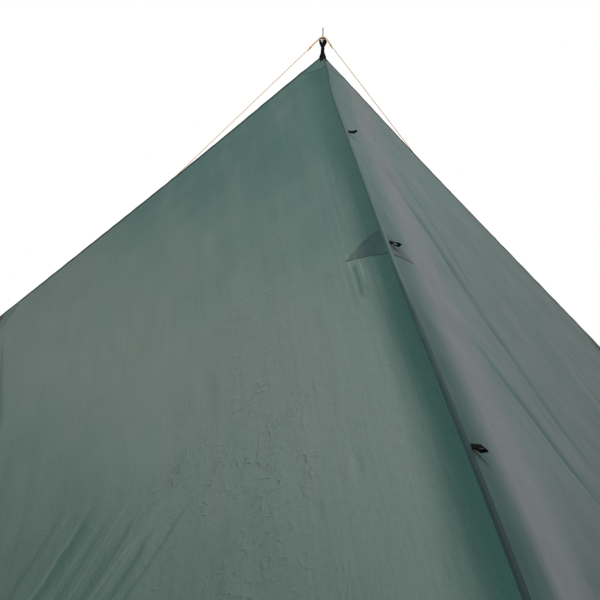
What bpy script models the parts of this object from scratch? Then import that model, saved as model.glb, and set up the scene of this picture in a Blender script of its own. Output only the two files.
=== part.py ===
"""Camping tarp: a square sheet of two panels, pitched as a lean-to on one telescopic pole.

Metres, +Z up. The origin is the middle of the pole's foot, on the ground. The ridge seam runs from
the pole's head down towards -Y, the front of the shelter opens to +Y, and +X is the right panel.
"""

from math import atan2, cos, hypot, pi, radians, sin, tan

import bmesh
import bpy
from mathutils import Matrix, Vector

# Cloth and pitch
PANEL_WIDTH = 1.5  # ridge seam to side hem, one width of cloth
TARP_LENGTH = 2 * PANEL_WIDTH  # front edge to rear edge: the sheet is square
RIDGE_SLOPE = radians(25.0)  # the ridge falls this much below level
PANEL_SPLAY = radians(47.75)  # each front edge leaves the ridge's upright plane by this
REAR_CORNER_HEIGHT = 0.0321  # the rear corners' cloth above the ground
APEX_SETBACK = 0.0145  # the cloth's apex lies this far behind the pole's axis
CLOTH_THICKNESS = 0.0008
RIDGE_EDGE_GAP = 0.0015  # each panel's cut edge stops this far from the ridge line
SIDE_HOLLOW = 0.020  # the side hems curve in by this at mid length
REAR_HOLLOW = 0.015  # each half of the rear hem curves in by this
RIDGE_BOW = 0.0112  # the taut ridge seam is drawn this far towards the left panel
BOW_RISE = (0.125, 0.325)  # along the ridge: where the bow starts, and the length it grows over
BOW_FALL = (1.550, 1.050)
BOW_FADE = 0.470  # the bow dies away over this width of cloth
CELLS_ACROSS = 24
CELLS_ALONG = 24

# Folds of the hung cloth: a slack belly and the long tension folds
BELLY_DEPTH = 0.035
FLAT_AT_RIDGE = 0.130  # the cloth lies flat this far from the ridge
FLAT_AT_SIDE = 0.070
FLAT_AT_ENDS = 0.130
FLAT_AT_CORNERS = 0.350
FOLD_RISE = 0.250  # folds grow to full height over this distance
# One fold a line: from (across, along) to (across, along), half width and height
LEFT_FOLDS = (
    ((0.45, 1.70), (1.10, 2.50), 0.085, 0.014),
    ((0.72, 1.45), (1.28, 2.45), 0.085, 0.014),
    ((0.22, 1.95), (0.80, 2.72), 0.080, 0.012),
    ((0.42, 0.75), (1.00, 1.65), 0.110, 0.009),
)
RIGHT_FOLDS = (
    ((0.12, 0.20), (0.62, 1.50), 0.085, 0.013),
    ((0.20, 1.50), (0.66, 2.20), 0.080, 0.012),
    ((0.62, 1.05), (1.22, 2.35), 0.095, 0.014),
    ((0.55, 0.35), (1.15, 1.45), 0.110, 0.009),
)

# Strips sewn on the cloth
CLEARANCE = 0.0003  # between two pieces that touch
SEAM_LEFT_WIDTH = 0.0030  # the felled seam lies mostly on the right panel
SEAM_RIGHT_WIDTH = 0.0135
SEAM_THICKNESS = 0.0006
HEM_WIDTH = 0.0100
HEM_THICKNESS = 0.0006
HEM_SEGMENTS = 24
PATCH_THICKNESS = 0.0005
APEX_PATCH_SIDE = 0.090  # along the front hem
APEX_PATCH_DROP = 0.120  # along the ridge
REAR_PATCH_SIDE = 0.090
REAR_PATCH_RISE = 0.120
CENTRE_PATCH_HALF_WIDTH = 0.092
CENTRE_PATCH_FRONT = 0.062  # from the patch's middle to its front point
CENTRE_PATCH_REAR = 0.055
CENTRE_PATCH_TIP = 0.020  # the outer tip lies this far towards the apex from the middle
PATCH_TIP_WIDTH = 0.004
RIDGE_PATCH_BOW = 0.010  # the sewn edges curve by these
CENTRE_PATCH_FRONT_BOW = 0.006
CENTRE_PATCH_REAR_BOW = 0.009
CORNER_PATCH_BOW = 0.045
CORNER_PATCH_LEG = 0.200  # along each hem from the corner
PATCH_ARC_POINTS = 10

# Webbing loops
WEBBING_THICKNESS = 0.0012
RIDGE_LOOP_COUNT = 3
RIDGE_LOOP_SPACING = TARP_LENGTH / (RIDGE_LOOP_COUNT + 1)
CENTRE_PATCH_PLACE = 2 * RIDGE_LOOP_SPACING  # under the middle loop
RIDGE_LOOP_WIDTH = 0.012
RIDGE_LOOP_REACH = 0.024
RIDGE_LOOP_OPENING = 0.0110
RIDGE_LOOP_TAIL = 0.0025
RIDGE_LOOP_TILT = radians(26.0)  # the loop stands off the cloth by this
RIDGE_LOOP_LIFT = 0.00015  # room for the tail when the loop is turned up
CORNER_LOOP_WIDTH = 0.015
CORNER_LOOP_REACH = 0.045
CORNER_LOOP_OPENING = 0.016
CORNER_LOOP_TAIL = 0.029
CORNER_LOOP_START = 0.004  # the loop opens this far beyond the cloth's corner
LOOP_POINTS = 14
LOOP_SLIT = 0.0004  # between the strap's two strands where they meet
DROP_FULLNESS = 0.77  # brings the drop outline's widest place to the opening's width

# Apex loop: a folded strap with a hole in its top for the pole's pin
APEX_STRAP_WIDTH = 0.0130
APEX_LOOP_HEIGHT = 0.0705  # above the cloth's apex
APEX_LOOP_HALF_WIDTH = 0.0115
APEX_WAIST_HEIGHT = 0.0290
APEX_SADDLE_LENGTH = 0.045
APEX_SADDLE_HALF_WIDTH = 0.0125
APEX_SADDLE_START = 0.0002  # behind the cloth's front edge
NECK_SET_BACK = 0.0035  # the neck rises this far behind the cloth's apex
NECK_FRONT_Y = -0.0108  # the gathered neck's middle at its top
NECK_HALF_DEPTH = 0.0035
# The gathered neck: height above the apex, half width, middle's y and half depth
NECK_STATIONS = (
    (0.0030, 0.0084, -APEX_SETBACK - NECK_SET_BACK, 0.0022),
    (0.0110, 0.0062, -APEX_SETBACK - NECK_SET_BACK + 0.0005, 0.0030),
    (0.0200, 0.0045, -0.0128, 0.0038),
    (0.0270, 0.0042, -0.0110, 0.0040),
    (0.0340, 0.0044, NECK_FRONT_Y, 0.0042),
)
NECK_ROOT = (0.0085, 0.0020)  # half width and half depth where the neck leaves the saddle
RING_TAIL = 0.010  # the open loop's strands run down into the neck by this
RING_FORWARD = (0.040, 0.028)  # the height where the loop starts to come forward, and over what
RING_WIDENS = (0.034, 0.030)

# Pole, from the ground up
TUBE_WALL = 0.0010
NESTING_GAP = 0.0005  # between a tube and the bore of the next one
UPPER_TUBE_RADIUS = 0.0080
MIDDLE_TUBE_RADIUS = UPPER_TUBE_RADIUS + (TUBE_WALL + NESTING_GAP)
LOWER_TUBE_RADIUS = MIDDLE_TUBE_RADIUS + (TUBE_WALL + NESTING_GAP)
LOWER_TUBE_LENGTH = 0.800
MIDDLE_TUBE_LENGTH = 0.940
LOWER_INSERTION = 0.220  # the middle tube's length inside the lower one
UPPER_INSERTION = 0.220
FOOT_SLEEVE_WALL = 0.0020  # with the clearance round the tube
FOOT_TREAD_OVERHANG = 0.0020
FOOT_TOP_RADIUS = LOWER_TUBE_RADIUS + FOOT_SLEEVE_WALL
FOOT_RADIUS = FOOT_TOP_RADIUS + FOOT_TREAD_OVERHANG
FOOT_HEIGHT = 0.045
FOOT_FLOOR = 0.006
FOOT_EDGE = 0.002
FOOT_TREAD = (0.012, 0.018)  # the wide tread's top, and where the sleeve starts
FOOT_RIM = (0.0010, 0.0015)
TUBE_TOP_DROP = 0.040  # the upper tube ends this far below the cloth's apex
TIP_PLUG_LENGTH = 0.030
TIP_COLLAR_HEIGHT = 0.003
TIP_CONE_HEIGHT = 0.016
TIP_STEM_RADIUS = 0.0030
TIP_CONE_FLARE = 0.0015  # the cone is this much wider than the stem at its bend
TIP_CONE_BEND = 0.6
TIP_PIN_CHAMFER = 0.0012
TIP_PIN_END = 0.55  # the pin's end radius as a share of its radius
TIP_PLUG_CHAMFER = (0.0008, 0.0015)
TIP_PIN_RADIUS = 0.0025
TIP_PIN_LENGTH = 0.0366
TIP_SHOULDER_DROP = 0.0016  # from the strap's underside at its highest to the pin's shoulder
BUSH_LENGTH = 0.030
BUSH_WALL = 0.0015
BUSH_FLANGE = 0.006
BUSH_CHAMFER = 0.0005
RUNNING_GAP = 0.00015  # between a guide bush and the tube that it slides in
ROUND_SIDES = 24

# Clamps
CLAMP_HEIGHT = 0.036
CLAMP_GRIP_HEIGHT = 0.016  # the part above the outer tube's end, round the inner tube
CLAMP_WALL = 0.0035
CLAMP_SLOT = 0.0030
CLAMP_BOTTOM_EDGE = 0.0008
CLAMP_TOP_EDGE = 0.0012
EAR_LENGTH = 0.0100
EAR_INSET = 0.004  # the ears stop this far from the collar's ends
EAR_ROOT = 0.8  # the ears reach into this share of the collar's wall
EAR_THICKNESS = 0.0045
LEVER_GAP = 0.0006
LEVER_THICKNESS = 0.0028
LEVER_HEIGHT = 0.018
LEVER_SWEEP = radians(150.0)
LEVER_FLARE = 0.006
LEVER_JOINT_END = 4.5  # the lever lies against the collar from this fraction of its sweep on
LEVER_FLARE_START = 0.8
LEVER_TAPER_START = 0.6
LEVER_TAPER = 0.35
PIN_RADIUS = 0.0015
KNUCKLE_RADIUS = 0.0035
KNUCKLE_SIDES = 16
KNUCKLE_OFFSET = 0.55
SCREW_RADIUS = 0.0015
SCREW_HEAD_RADIUS = 0.0028
SCREW_HEAD_HEIGHT = 0.0020
SCREW_HEAD_EDGE = 0.0006
SCREW_HEAD_TAPER = 0.75
SCREW_SIDES = 12
OVERCUT = 0.001  # a cutting shape reaches this far beyond what it cuts
SCREW_GRIP = 0.0015  # the screw's depth in the ear on the lever's side
LEVER_STEPS = 14

# Guylines: the ground points that they aim at, and how much of each is made
GUY_AIM_X = 2.37
GUY_AIM_Y = 1.45
CORD_RADIUS = 0.0010
LEFT_GUY_REACH = 0.95  # from the pin to the end of the loop
RIGHT_GUY_REACH = 0.80
LEFT_KNOT_PLACE = 0.052  # from the pin to the knot's middle
RIGHT_KNOT_PLACE = 0.040
KNOT_TURNS = 2.5
KNOT_RADIUS = 0.0026
KNOT_PITCH = 0.0027
KNOT_POINTS_A_TURN = 10
KNOT_TAIL = 0.011
KNOT_TAIL_OFFSETS = (0.0060, 0.0036)  # the tail's end and bend, beside the line
KNOT_LEAD = 0.004  # the strands bend this far from the knot
RETURN_OFFSETS = (0.0029, 0.0036)  # the strand back to the pin, beside the line
OUTGOING_OFFSETS = (0.0026, 0.0003)
EYE_STEPS = 8
RUN_START = 0.010  # the long run starts this far beyond the knot
# The bottom loop: distance from its end and spread beyond a strand's own line
LINE_LOOP = ((0.075, 0.0), (0.045, 0.0040), (0.018, 0.0045), (0.004, 0.0010))
STRAND_SPACING = 0.008  # between the two strands below the slider
SLIDER_SIZE = (0.009, 0.019, 0.0085)  # along the line, across the strands, thick
SLIDER_HOLE_RADIUS = 0.0014
SLIDER_TO_LOOP_END = 0.130
LINE_TAIL = 0.045  # the return strand's end beyond the slider
SLIDER_CHAMFER = 0.0018
SLIDER_END_ROUNDING = 0.0010
GUY_SLOPE_START = 0.0085  # a guyline is level this far from the pin, then falls

# Colours: base colour, roughness, metallic
FINISHES = {
    "cloth": ((0.095, 0.155, 0.140), 0.62, 0.0),
    "cloth_dark": ((0.050, 0.088, 0.082), 0.66, 0.0),
    "webbing": ((0.012, 0.011, 0.010), 0.85, 0.0),
    "aluminium": ((0.56, 0.57, 0.58), 0.35, 1.0),
    "steel": ((0.50, 0.51, 0.47), 0.38, 1.0),
    "plastic": ((0.018, 0.018, 0.019), 0.50, 0.0),
    "rubber": ((0.020, 0.020, 0.020), 0.80, 0.0),
    "cord": ((0.72, 0.40, 0.055), 0.75, 0.0),
}

# Worked out from the sizes above
RIDGE = Vector((0, -cos(RIDGE_SLOPE), -sin(RIDGE_SLOPE)))
RIDGE_UP = Vector((0, -sin(RIDGE_SLOPE), cos(RIDGE_SLOPE)))
APEX_HEIGHT = (
    REAR_CORNER_HEIGHT
    + TARP_LENGTH * sin(RIDGE_SLOPE)
    + PANEL_WIDTH * cos(PANEL_SPLAY) * cos(RIDGE_SLOPE)
)
APEX = Vector((0, -APEX_SETBACK, APEX_HEIGHT))
LOOP_TOP = APEX_HEIGHT + APEX_LOOP_HEIGHT
LEFT, RIGHT = -1, 1
SEAM_WIDTHS = {LEFT: SEAM_LEFT_WIDTH, RIGHT: SEAM_RIGHT_WIDTH}


def across(side):
    """Unit vector from the ridge down one panel, square to the ridge."""
    return Vector((side * sin(PANEL_SPLAY), 0, 0)) - RIDGE_UP * cos(PANEL_SPLAY)


def outward(side):
    """Unit vector out of one panel's weather face."""
    return RIDGE.cross(across(side)) * side


def smooth_step(value, start, width):
    share = min(max((value - start) / width, 0.0), 1.0)
    return share * share * (3 - 2 * share)


def swell(value, low, high):
    """0 at both ends and 1 half way, without a corner at the ends."""
    share = min(max((value - low) / (high - low), 0.0), 1.0)
    return sin(pi * share) ** 2


def ridge_bow(b):
    """How far the ridge seam is drawn sideways at a place along it."""
    return RIDGE_BOW * smooth_step(b, *BOW_RISE) * (1 - smooth_step(b, *BOW_FALL))


def fold_height(fold, a, b):
    """Height of one long fold at a place on the flat cloth."""
    (a0, b0), (a1, b1), half_width, height = fold
    length = hypot(a1 - a0, b1 - b0)
    along = ((a - a0) * (a1 - a0) + (b - b0) * (b1 - b0)) / length
    off = ((a - a0) * (b1 - b0) - (b - b0) * (a1 - a0)) / length
    share = min(max(along / length, 0.0), 1.0)
    reach = (off / half_width) ** 2 + (along / length - share) ** 2 * 40
    return height * 2.718 ** (-reach) * sin(pi * (0.12 + 0.76 * share))


def cloth_height(side, a, b):
    """How far the hung cloth stands off the panel's plane, 0 along seams, hems and patches."""
    corner = min(
        hypot(PANEL_WIDTH - a, b),
        hypot(PANEL_WIDTH - a, TARP_LENGTH - b),
    )
    at_corner = smooth_step(corner, FLAT_AT_CORNERS, FOLD_RISE)
    belly = swell(a, FLAT_AT_RIDGE, PANEL_WIDTH - FLAT_AT_SIDE)
    belly *= swell(b, FLAT_AT_ENDS, TARP_LENGTH - FLAT_AT_ENDS)
    slack = (
        smooth_step(a, FLAT_AT_RIDGE, FOLD_RISE)
        * smooth_step(PANEL_WIDTH - a, FLAT_AT_SIDE, FOLD_RISE)
        * smooth_step(b, FLAT_AT_ENDS, FOLD_RISE)
        * smooth_step(TARP_LENGTH - b, FLAT_AT_ENDS, FOLD_RISE)
    )
    folds = LEFT_FOLDS if side == LEFT else RIGHT_FOLDS
    raised = sum(fold_height(fold, a, b) for fold in folds)
    return at_corner * (slack * raised - belly * BELLY_DEPTH)


def on_cloth(side, a, b, lift=0.0):
    """World place of a point of one panel: a metres from the ridge, b from the front edge."""
    height = cloth_height(side, a, b) + lift
    bow = ridge_bow(b) * (1 - smooth_step(a, FLAT_AT_RIDGE, BOW_FADE))
    place = APEX + RIDGE * b + across(side) * a + outward(side) * height
    return place - Vector((bow, 0, 0))


def side_edge(b):
    """Distance of the side hem's edge from the ridge."""
    return PANEL_WIDTH - SIDE_HOLLOW * sin(pi * b / TARP_LENGTH)


def rear_edge(a):
    """Distance of the rear hem's edge from the front edge."""
    return TARP_LENGTH - REAR_HOLLOW * sin(pi * a / PANEL_WIDTH)


def finish_material(name):
    material = bpy.data.materials.get(name)
    if material is None:
        colour, roughness, metallic = FINISHES[name]
        material = bpy.data.materials.new(name)
        material.use_nodes = True
        shader = material.node_tree.nodes["Principled BSDF"]
        shader.inputs["Base Color"].default_value = (*colour, 1.0)
        shader.inputs["Roughness"].default_value = roughness
        shader.inputs["Metallic"].default_value = metallic
        material.diffuse_color = (*colour, 1.0)
    return material


def add_object(name, data, finish, origin=Vector((0, 0, 0))):
    """Link one sub-part, with its origin at a world place."""
    thing = bpy.data.objects.new(name, data)
    thing.location = origin
    data.materials.append(finish_material(finish))
    bpy.context.scene.collection.objects.link(thing)
    return thing


def mesh_object(name, shape, finish, origin=Vector((0, 0, 0)), smooth=False):
    """Turn a bmesh in world metres into an object."""
    bmesh.ops.recalc_face_normals(shape, faces=shape.faces)
    bmesh.ops.translate(shape, verts=shape.verts, vec=-origin)
    mesh = bpy.data.meshes.new(name)
    shape.to_mesh(mesh)
    shape.free()
    if smooth:
        mesh.shade_smooth()
        mesh.set_sharp_from_angle(angle=radians(35))
    return add_object(name, mesh, finish, origin)


def bridge(shape, first, second, closed=True):
    """Quads between two rows of vertices."""
    count = len(first)
    for i in range(count if closed else count - 1):
        j = (i + 1) % count
        shape.faces.new((first[i], first[j], second[j], second[i]))


def swept(rows):
    """A closed solid through rows of points, each row one section's outline."""
    shape = bmesh.new()
    made = [[shape.verts.new(p) for p in row] for row in rows]
    for first, second in zip(made, made[1:]):
        bridge(shape, first, second)
    shape.faces.new(list(reversed(made[0])))
    shape.faces.new(made[-1])
    return shape


def turned(profile, centre=Vector((0, 0, 0)), closed=False, sides=ROUND_SIDES):
    """A solid turned about an upright axis from (radius, height) points, bottom to top."""
    shape = bmesh.new()
    rings = []
    for radius, height in profile:
        rings.append(
            [
                shape.verts.new(
                    centre
                    + Vector((radius * cos(2 * pi * i / sides), radius * sin(2 * pi * i / sides), height))
                )
                for i in range(sides)
            ]
        )
    for first, second in zip(rings, rings[1:]):
        bridge(shape, first, second)
    if closed:
        bridge(shape, rings[-1], rings[0])
    else:
        shape.faces.new(list(reversed(rings[0])))
        shape.faces.new(rings[-1])
    return shape


def tube(radius, bottom, top, wall=TUBE_WALL):
    inner = radius - wall
    return turned([(radius, bottom), (radius, top), (inner, top), (inner, bottom)], closed=True)


def cut(target, cutter, operation="DIFFERENCE"):
    """Apply a Boolean of two objects and remove the cutter."""
    modifier = target.modifiers.new("cut", "BOOLEAN")
    modifier.operation = operation
    modifier.object = cutter
    graph = bpy.context.evaluated_depsgraph_get()
    result = bpy.data.meshes.new_from_object(target.evaluated_get(graph))
    target.modifiers.clear()
    old = target.data
    target.data = result
    bpy.data.meshes.remove(old)
    bpy.data.objects.remove(cutter)


def rod(name, start, end, radius, finish, sides=12):
    """A plain round bar between two places."""
    axis = (end - start).normalized()
    side = axis.orthogonal().normalized()
    up = axis.cross(side)
    turns = [2 * pi * i / sides for i in range(sides)]
    rows = [
        [place + (side * cos(turn) + up * sin(turn)) * radius for turn in turns]
        for place in (start, end)
    ]
    return mesh_object(name, swept(rows), finish, smooth=True)


def panel(name, side):
    """One width of cloth, hung, as a thin closed sheet."""
    shape = bmesh.new()
    layers = []
    for lift in (0.0, -CLOTH_THICKNESS):
        rows = []
        for j in range(CELLS_ALONG + 1):
            row = []
            for i in range(CELLS_ACROSS + 1):
                a, b = PANEL_WIDTH * i / CELLS_ACROSS, TARP_LENGTH * j / CELLS_ALONG
                a_hung = max(a * side_edge(b) / PANEL_WIDTH, RIDGE_EDGE_GAP)
                b_hung = b * rear_edge(a) / TARP_LENGTH
                row.append(shape.verts.new(on_cloth(side, a_hung, b_hung, lift)))
            rows.append(row)
        layers.append(rows)
    for rows in layers:
        for first, second in zip(rows, rows[1:]):
            bridge(shape, first, second, closed=False)
    top, bottom = layers
    for rim_top, rim_bottom in (
        (top[0], bottom[0]),
        (top[-1], bottom[-1]),
        ([r[0] for r in top], [r[0] for r in bottom]),
        ([r[-1] for r in top], [r[-1] for r in bottom]),
    ):
        bridge(shape, rim_top, rim_bottom, closed=False)
    return mesh_object(name, shape, "cloth", smooth=True)


def hem(name, side, edge):
    """A turned hem round one edge of a panel; edge is a list of flat places and inward directions."""
    outer = CLEARANCE + HEM_THICKNESS
    under = -CLOTH_THICKNESS
    section = (
        (-outer, outer),
        (HEM_WIDTH, outer),
        (HEM_WIDTH, CLEARANCE),
        (-CLEARANCE, CLEARANCE),
        (-CLEARANCE, under - CLEARANCE),
        (HEM_WIDTH, under - CLEARANCE),
        (HEM_WIDTH, under - outer),
        (-outer, under - outer),
    )
    rows = [
        [on_cloth(side, a + in_a * depth, b + in_b * depth, lift) for depth, lift in section]
        for (a, b), (in_a, in_b) in edge
    ]
    return mesh_object(name, swept(rows), "cloth_dark")


def front_edge(side_name, side):
    start, end = SEAM_WIDTHS[side] + 2 * CLEARANCE, PANEL_WIDTH - HEM_WIDTH - 2 * CLEARANCE
    places = [start + (end - start) * i / HEM_SEGMENTS for i in range(HEM_SEGMENTS + 1)]
    return hem(f"front_hem_{side_name}", side, [((a, 0.0), (0, 1)) for a in places])


def rear_edge_hem(side_name, side):
    start, end = SEAM_WIDTHS[side] + 2 * CLEARANCE, PANEL_WIDTH - HEM_WIDTH - 2 * CLEARANCE
    edge = []
    for i in range(CELLS_ACROSS + 1):
        a = min(max(PANEL_WIDTH * i / CELLS_ACROSS, start), end)
        slope = -REAR_HOLLOW * pi / PANEL_WIDTH * cos(pi * a / PANEL_WIDTH)
        length = hypot(1, slope)
        edge.append(((a, chord(rear_edge, a, PANEL_WIDTH, CELLS_ACROSS)), (slope / length, -1 / length)))
    return hem(f"rear_hem_{side_name}", side, edge)


def side_edge_hem(side_name, side):
    edge = []
    for j in range(CELLS_ALONG + 1):
        b = min(max(TARP_LENGTH * j / CELLS_ALONG, CLEARANCE), TARP_LENGTH - CLEARANCE)
        slope = -SIDE_HOLLOW * pi / TARP_LENGTH * cos(pi * b / TARP_LENGTH)
        length = hypot(1, slope)
        edge.append(((chord(side_edge, b, TARP_LENGTH, CELLS_ALONG), b), (-1 / length, slope / length)))
    return hem(f"side_hem_{side_name}", side, edge)


def chord(edge, place, length, cells):
    """The faceted edge's value at a place, read between the panel's own edge points."""
    share = place / length * cells
    low = min(int(share), cells - 1)
    start, end = (edge(length * k / cells) for k in (low, low + 1))
    return start + (end - start) * (share - low)


def ridge_seam():
    """The felled seam that joins the panels, as a folded strip over the ridge."""
    rows = []
    inner, outer = CLEARANCE, CLEARANCE + SEAM_THICKNESS
    crest = RIDGE_UP / sin(PANEL_SPLAY)
    for j in range(CELLS_ALONG + 1):
        b = min(max(TARP_LENGTH * j / CELLS_ALONG, CLEARANCE), TARP_LENGTH - CLEARANCE)
        ridge = APEX + RIDGE * b - Vector((ridge_bow(b), 0, 0))
        rows.append(
            [
                on_cloth(LEFT, SEAM_LEFT_WIDTH, b, outer),
                ridge + crest * outer,
                on_cloth(RIGHT, SEAM_RIGHT_WIDTH, b, outer),
                on_cloth(RIGHT, SEAM_RIGHT_WIDTH, b, inner),
                ridge + crest * inner,
                on_cloth(LEFT, SEAM_LEFT_WIDTH, b, inner),
            ]
        )
    return mesh_object("ridge_seam", swept(rows), "cloth_dark")


def patch(name, side, outline):
    """A flat reinforcement sewn on a panel; outline is a list of flat places."""
    rows = [
        [on_cloth(side, a, b, lift) for a, b in outline]
        for lift in (CLEARANCE, CLEARANCE + PATCH_THICKNESS)
    ]
    return mesh_object(name, swept(rows), "cloth_dark")


def bowed(start, end, bow, count=PATCH_ARC_POINTS):
    """Points of a shallow curve between two flat places, bowed to the left of the way by bow."""
    (a0, b0), (a1, b1) = start, end
    length = hypot(a1 - a0, b1 - b0)
    points = []
    for i in range(count + 1):
        share = i / count
        off = bow * sin(pi * share)
        points.append(
            (
                a0 + (a1 - a0) * share - (b1 - b0) / length * off,
                b0 + (b1 - b0) * share + (a1 - a0) / length * off,
            )
        )
    return points


def patches(side_name, side):
    """The apex, centre, rear and corner reinforcements of one panel."""
    seam = SEAM_WIDTHS[side] + CLEARANCE
    front = HEM_WIDTH + CLEARANCE
    rear = TARP_LENGTH - HEM_WIDTH - CLEARANCE
    middle = CENTRE_PATCH_PLACE
    tip = middle - CENTRE_PATCH_TIP
    tip_front = (CENTRE_PATCH_HALF_WIDTH, tip - PATCH_TIP_WIDTH / 2)
    tip_rear = (CENTRE_PATCH_HALF_WIDTH, tip + PATCH_TIP_WIDTH / 2)
    patch(
        f"apex_patch_{side_name}",
        side,
        [(seam, front)] + bowed((APEX_PATCH_SIDE, front), (seam, APEX_PATCH_DROP), RIDGE_PATCH_BOW),
    )
    patch(
        f"centre_patch_{side_name}",
        side,
        bowed((seam, middle - CENTRE_PATCH_FRONT), tip_front, -CENTRE_PATCH_FRONT_BOW)
        + bowed(tip_rear, (seam, middle + CENTRE_PATCH_REAR), CENTRE_PATCH_REAR_BOW),
    )
    rear_line = rear - REAR_HOLLOW * sin(pi * REAR_PATCH_SIDE / PANEL_WIDTH)
    patch(
        f"rear_patch_{side_name}",
        side,
        [(seam, rear_line)]
        + bowed((REAR_PATCH_SIDE, rear_line), (seam, rear - REAR_PATCH_RISE), -RIDGE_PATCH_BOW),
    )
    inset = PANEL_WIDTH - HEM_WIDTH - SIDE_HOLLOW * sin(pi * CORNER_PATCH_LEG / TARP_LENGTH)
    leg = PANEL_WIDTH - CORNER_PATCH_LEG
    patch(
        f"front_corner_patch_{side_name}",
        side,
        [(inset, front)] + bowed((inset, CORNER_PATCH_LEG), (leg, front), -CORNER_PATCH_BOW),
    )
    rear_inset = TARP_LENGTH - HEM_WIDTH - REAR_HOLLOW * sin(pi * CORNER_PATCH_LEG / PANEL_WIDTH)
    patch(
        f"rear_corner_patch_{side_name}",
        side,
        [(inset, rear_inset)]
        + bowed((leg, rear_inset), (inset, TARP_LENGTH - CORNER_PATCH_LEG), -CORNER_PATCH_BOW),
    )


def drop_outline(reach, opening, tail):
    """A folded strap seen from its edge: its outer and inner outlines, (out, up) from the root."""
    start = WEBBING_THICKNESS
    inner = [(start, -LOOP_SLIT / 2)]
    for i in range(1, LOOP_POINTS):
        turn = 2 * pi * i / LOOP_POINTS
        length = reach - WEBBING_THICKNESS - start
        out = start + length * (1 - cos(turn)) / 2
        up = -opening / 2 * sin(turn) * abs(sin(turn / 2)) / DROP_FULLNESS
        inner.append((out, up))
    inner.append((start, LOOP_SLIT / 2))
    outer = [(-tail, -WEBBING_THICKNESS), (start, -WEBBING_THICKNESS)]
    for before, here, after in zip(inner, inner[1:], inner[2:]):
        along = Vector((after[0] - before[0], after[1] - before[1])).normalized()
        outer.append((here[0] + along.y * WEBBING_THICKNESS, here[1] - along.x * WEBBING_THICKNESS))
    outer += [(start, WEBBING_THICKNESS), (-tail, WEBBING_THICKNESS)]
    return outer, inner


def strap_solid(edges, place):
    """Close a strap between its two edges; place(out, up, edge) gives a point of an edge."""
    outer, inner = edges
    shape = bmesh.new()
    sides = []
    for way in (-1, 1):
        round_outer = [shape.verts.new(place(x, y, way)) for x, y in outer]
        round_inner = [shape.verts.new(place(x, y, way)) for x, y in inner]
        bridge(shape, round_outer[1:-1], round_inner, closed=False)
        shape.faces.new(round_outer[:2] + [round_inner[0], round_inner[-1]] + round_outer[-2:])
        sides.append((round_outer, round_inner))
    (outer_low, inner_low), (outer_high, inner_high) = sides
    bridge(shape, outer_low, outer_high)
    bridge(shape, inner_low, inner_high)
    return shape


def strap_loop(name, root, out, up, width, sizes, origin=Vector((0, 0, 0))):
    """A loop of webbing that leaves its stitched tail at root, cut level where it meets the ground."""
    across_strap = out.cross(up)
    shape = strap_solid(
        drop_outline(*sizes),
        lambda x, y, way: root + out * x + up * y + across_strap * way * width / 2,
    )
    if min(v.co.z for v in shape.verts) < 0:
        everything = list(shape.verts) + list(shape.edges) + list(shape.faces)
        sliced = bmesh.ops.bisect_plane(
            shape, geom=everything, plane_co=(0, 0, 0), plane_no=(0, 0, -1), clear_outer=True
        )
        edges = [e for e in sliced["geom_cut"] if isinstance(e, bmesh.types.BMEdge)]
        bmesh.ops.holes_fill(shape, edges=edges)
    return mesh_object(name, shape, "webbing", origin)


def ridge_loops():
    """Small loops sewn into the ridge seam's right edge, lying over on the right panel."""
    side_way, up = across(RIGHT), outward(RIGHT)
    out = side_way * cos(RIDGE_LOOP_TILT) + up * sin(RIDGE_LOOP_TILT)
    stand = up * cos(RIDGE_LOOP_TILT) - side_way * sin(RIDGE_LOOP_TILT)
    for i in range(RIDGE_LOOP_COUNT):
        root = ridge_loop_root(i)
        strap_loop(
            f"ridge_loop_{i + 1}",
            root + out * RIDGE_LOOP_TAIL,
            out,
            stand,
            RIDGE_LOOP_WIDTH,
            (RIDGE_LOOP_REACH - RIDGE_LOOP_TAIL, RIDGE_LOOP_OPENING, RIDGE_LOOP_TAIL),
            origin=root,
        )


def ridge_loop_root(i):
    """Where a ridge loop leaves its stitching, which is also the line that it turns on."""
    a = SEAM_RIGHT_WIDTH + CLEARANCE + WEBBING_THICKNESS * sin(RIDGE_LOOP_TILT)
    b = RIDGE_LOOP_SPACING * (i + 1)
    over_patch = abs(b - CENTRE_PATCH_PLACE) < CENTRE_PATCH_FRONT
    under = PATCH_THICKNESS + CLEARANCE if over_patch else 0.0
    return on_cloth(RIGHT, a, b, under + CLEARANCE + WEBBING_THICKNESS + RIDGE_LOOP_LIFT)


def corner_loops(side_name, side):
    """The pegging loops of one panel's front and rear corners, along the corners' diagonals."""
    up = outward(side)
    lift = CLEARANCE * 2 + HEM_THICKNESS + WEBBING_THICKNESS
    for end, b, way in (("front", 0.0, -1), ("rear", TARP_LENGTH, 1)):
        out = (across(side) + RIDGE * way).normalized()
        strap_loop(
            f"{end}_corner_loop_{side_name}",
            on_cloth(side, PANEL_WIDTH, b, lift) + out * CORNER_LOOP_START,
            out,
            up,
            CORNER_LOOP_WIDTH,
            (CORNER_LOOP_REACH, CORNER_LOOP_OPENING, CORNER_LOOP_TAIL),
        )


def rear_ridge_loop():
    """The loop at the ridge's rear end, sewn on the seam's crest."""
    crest = RIDGE_UP * ((CLEARANCE + SEAM_THICKNESS) / sin(PANEL_SPLAY) + CLEARANCE + WEBBING_THICKNESS)
    strap_loop(
        "rear_ridge_loop",
        APEX + RIDGE * (TARP_LENGTH + CORNER_LOOP_START) + crest,
        RIDGE,
        RIDGE_UP,
        CORNER_LOOP_WIDTH,
        (CORNER_LOOP_REACH, CORNER_LOOP_OPENING, CORNER_LOOP_TAIL),
    )


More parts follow.
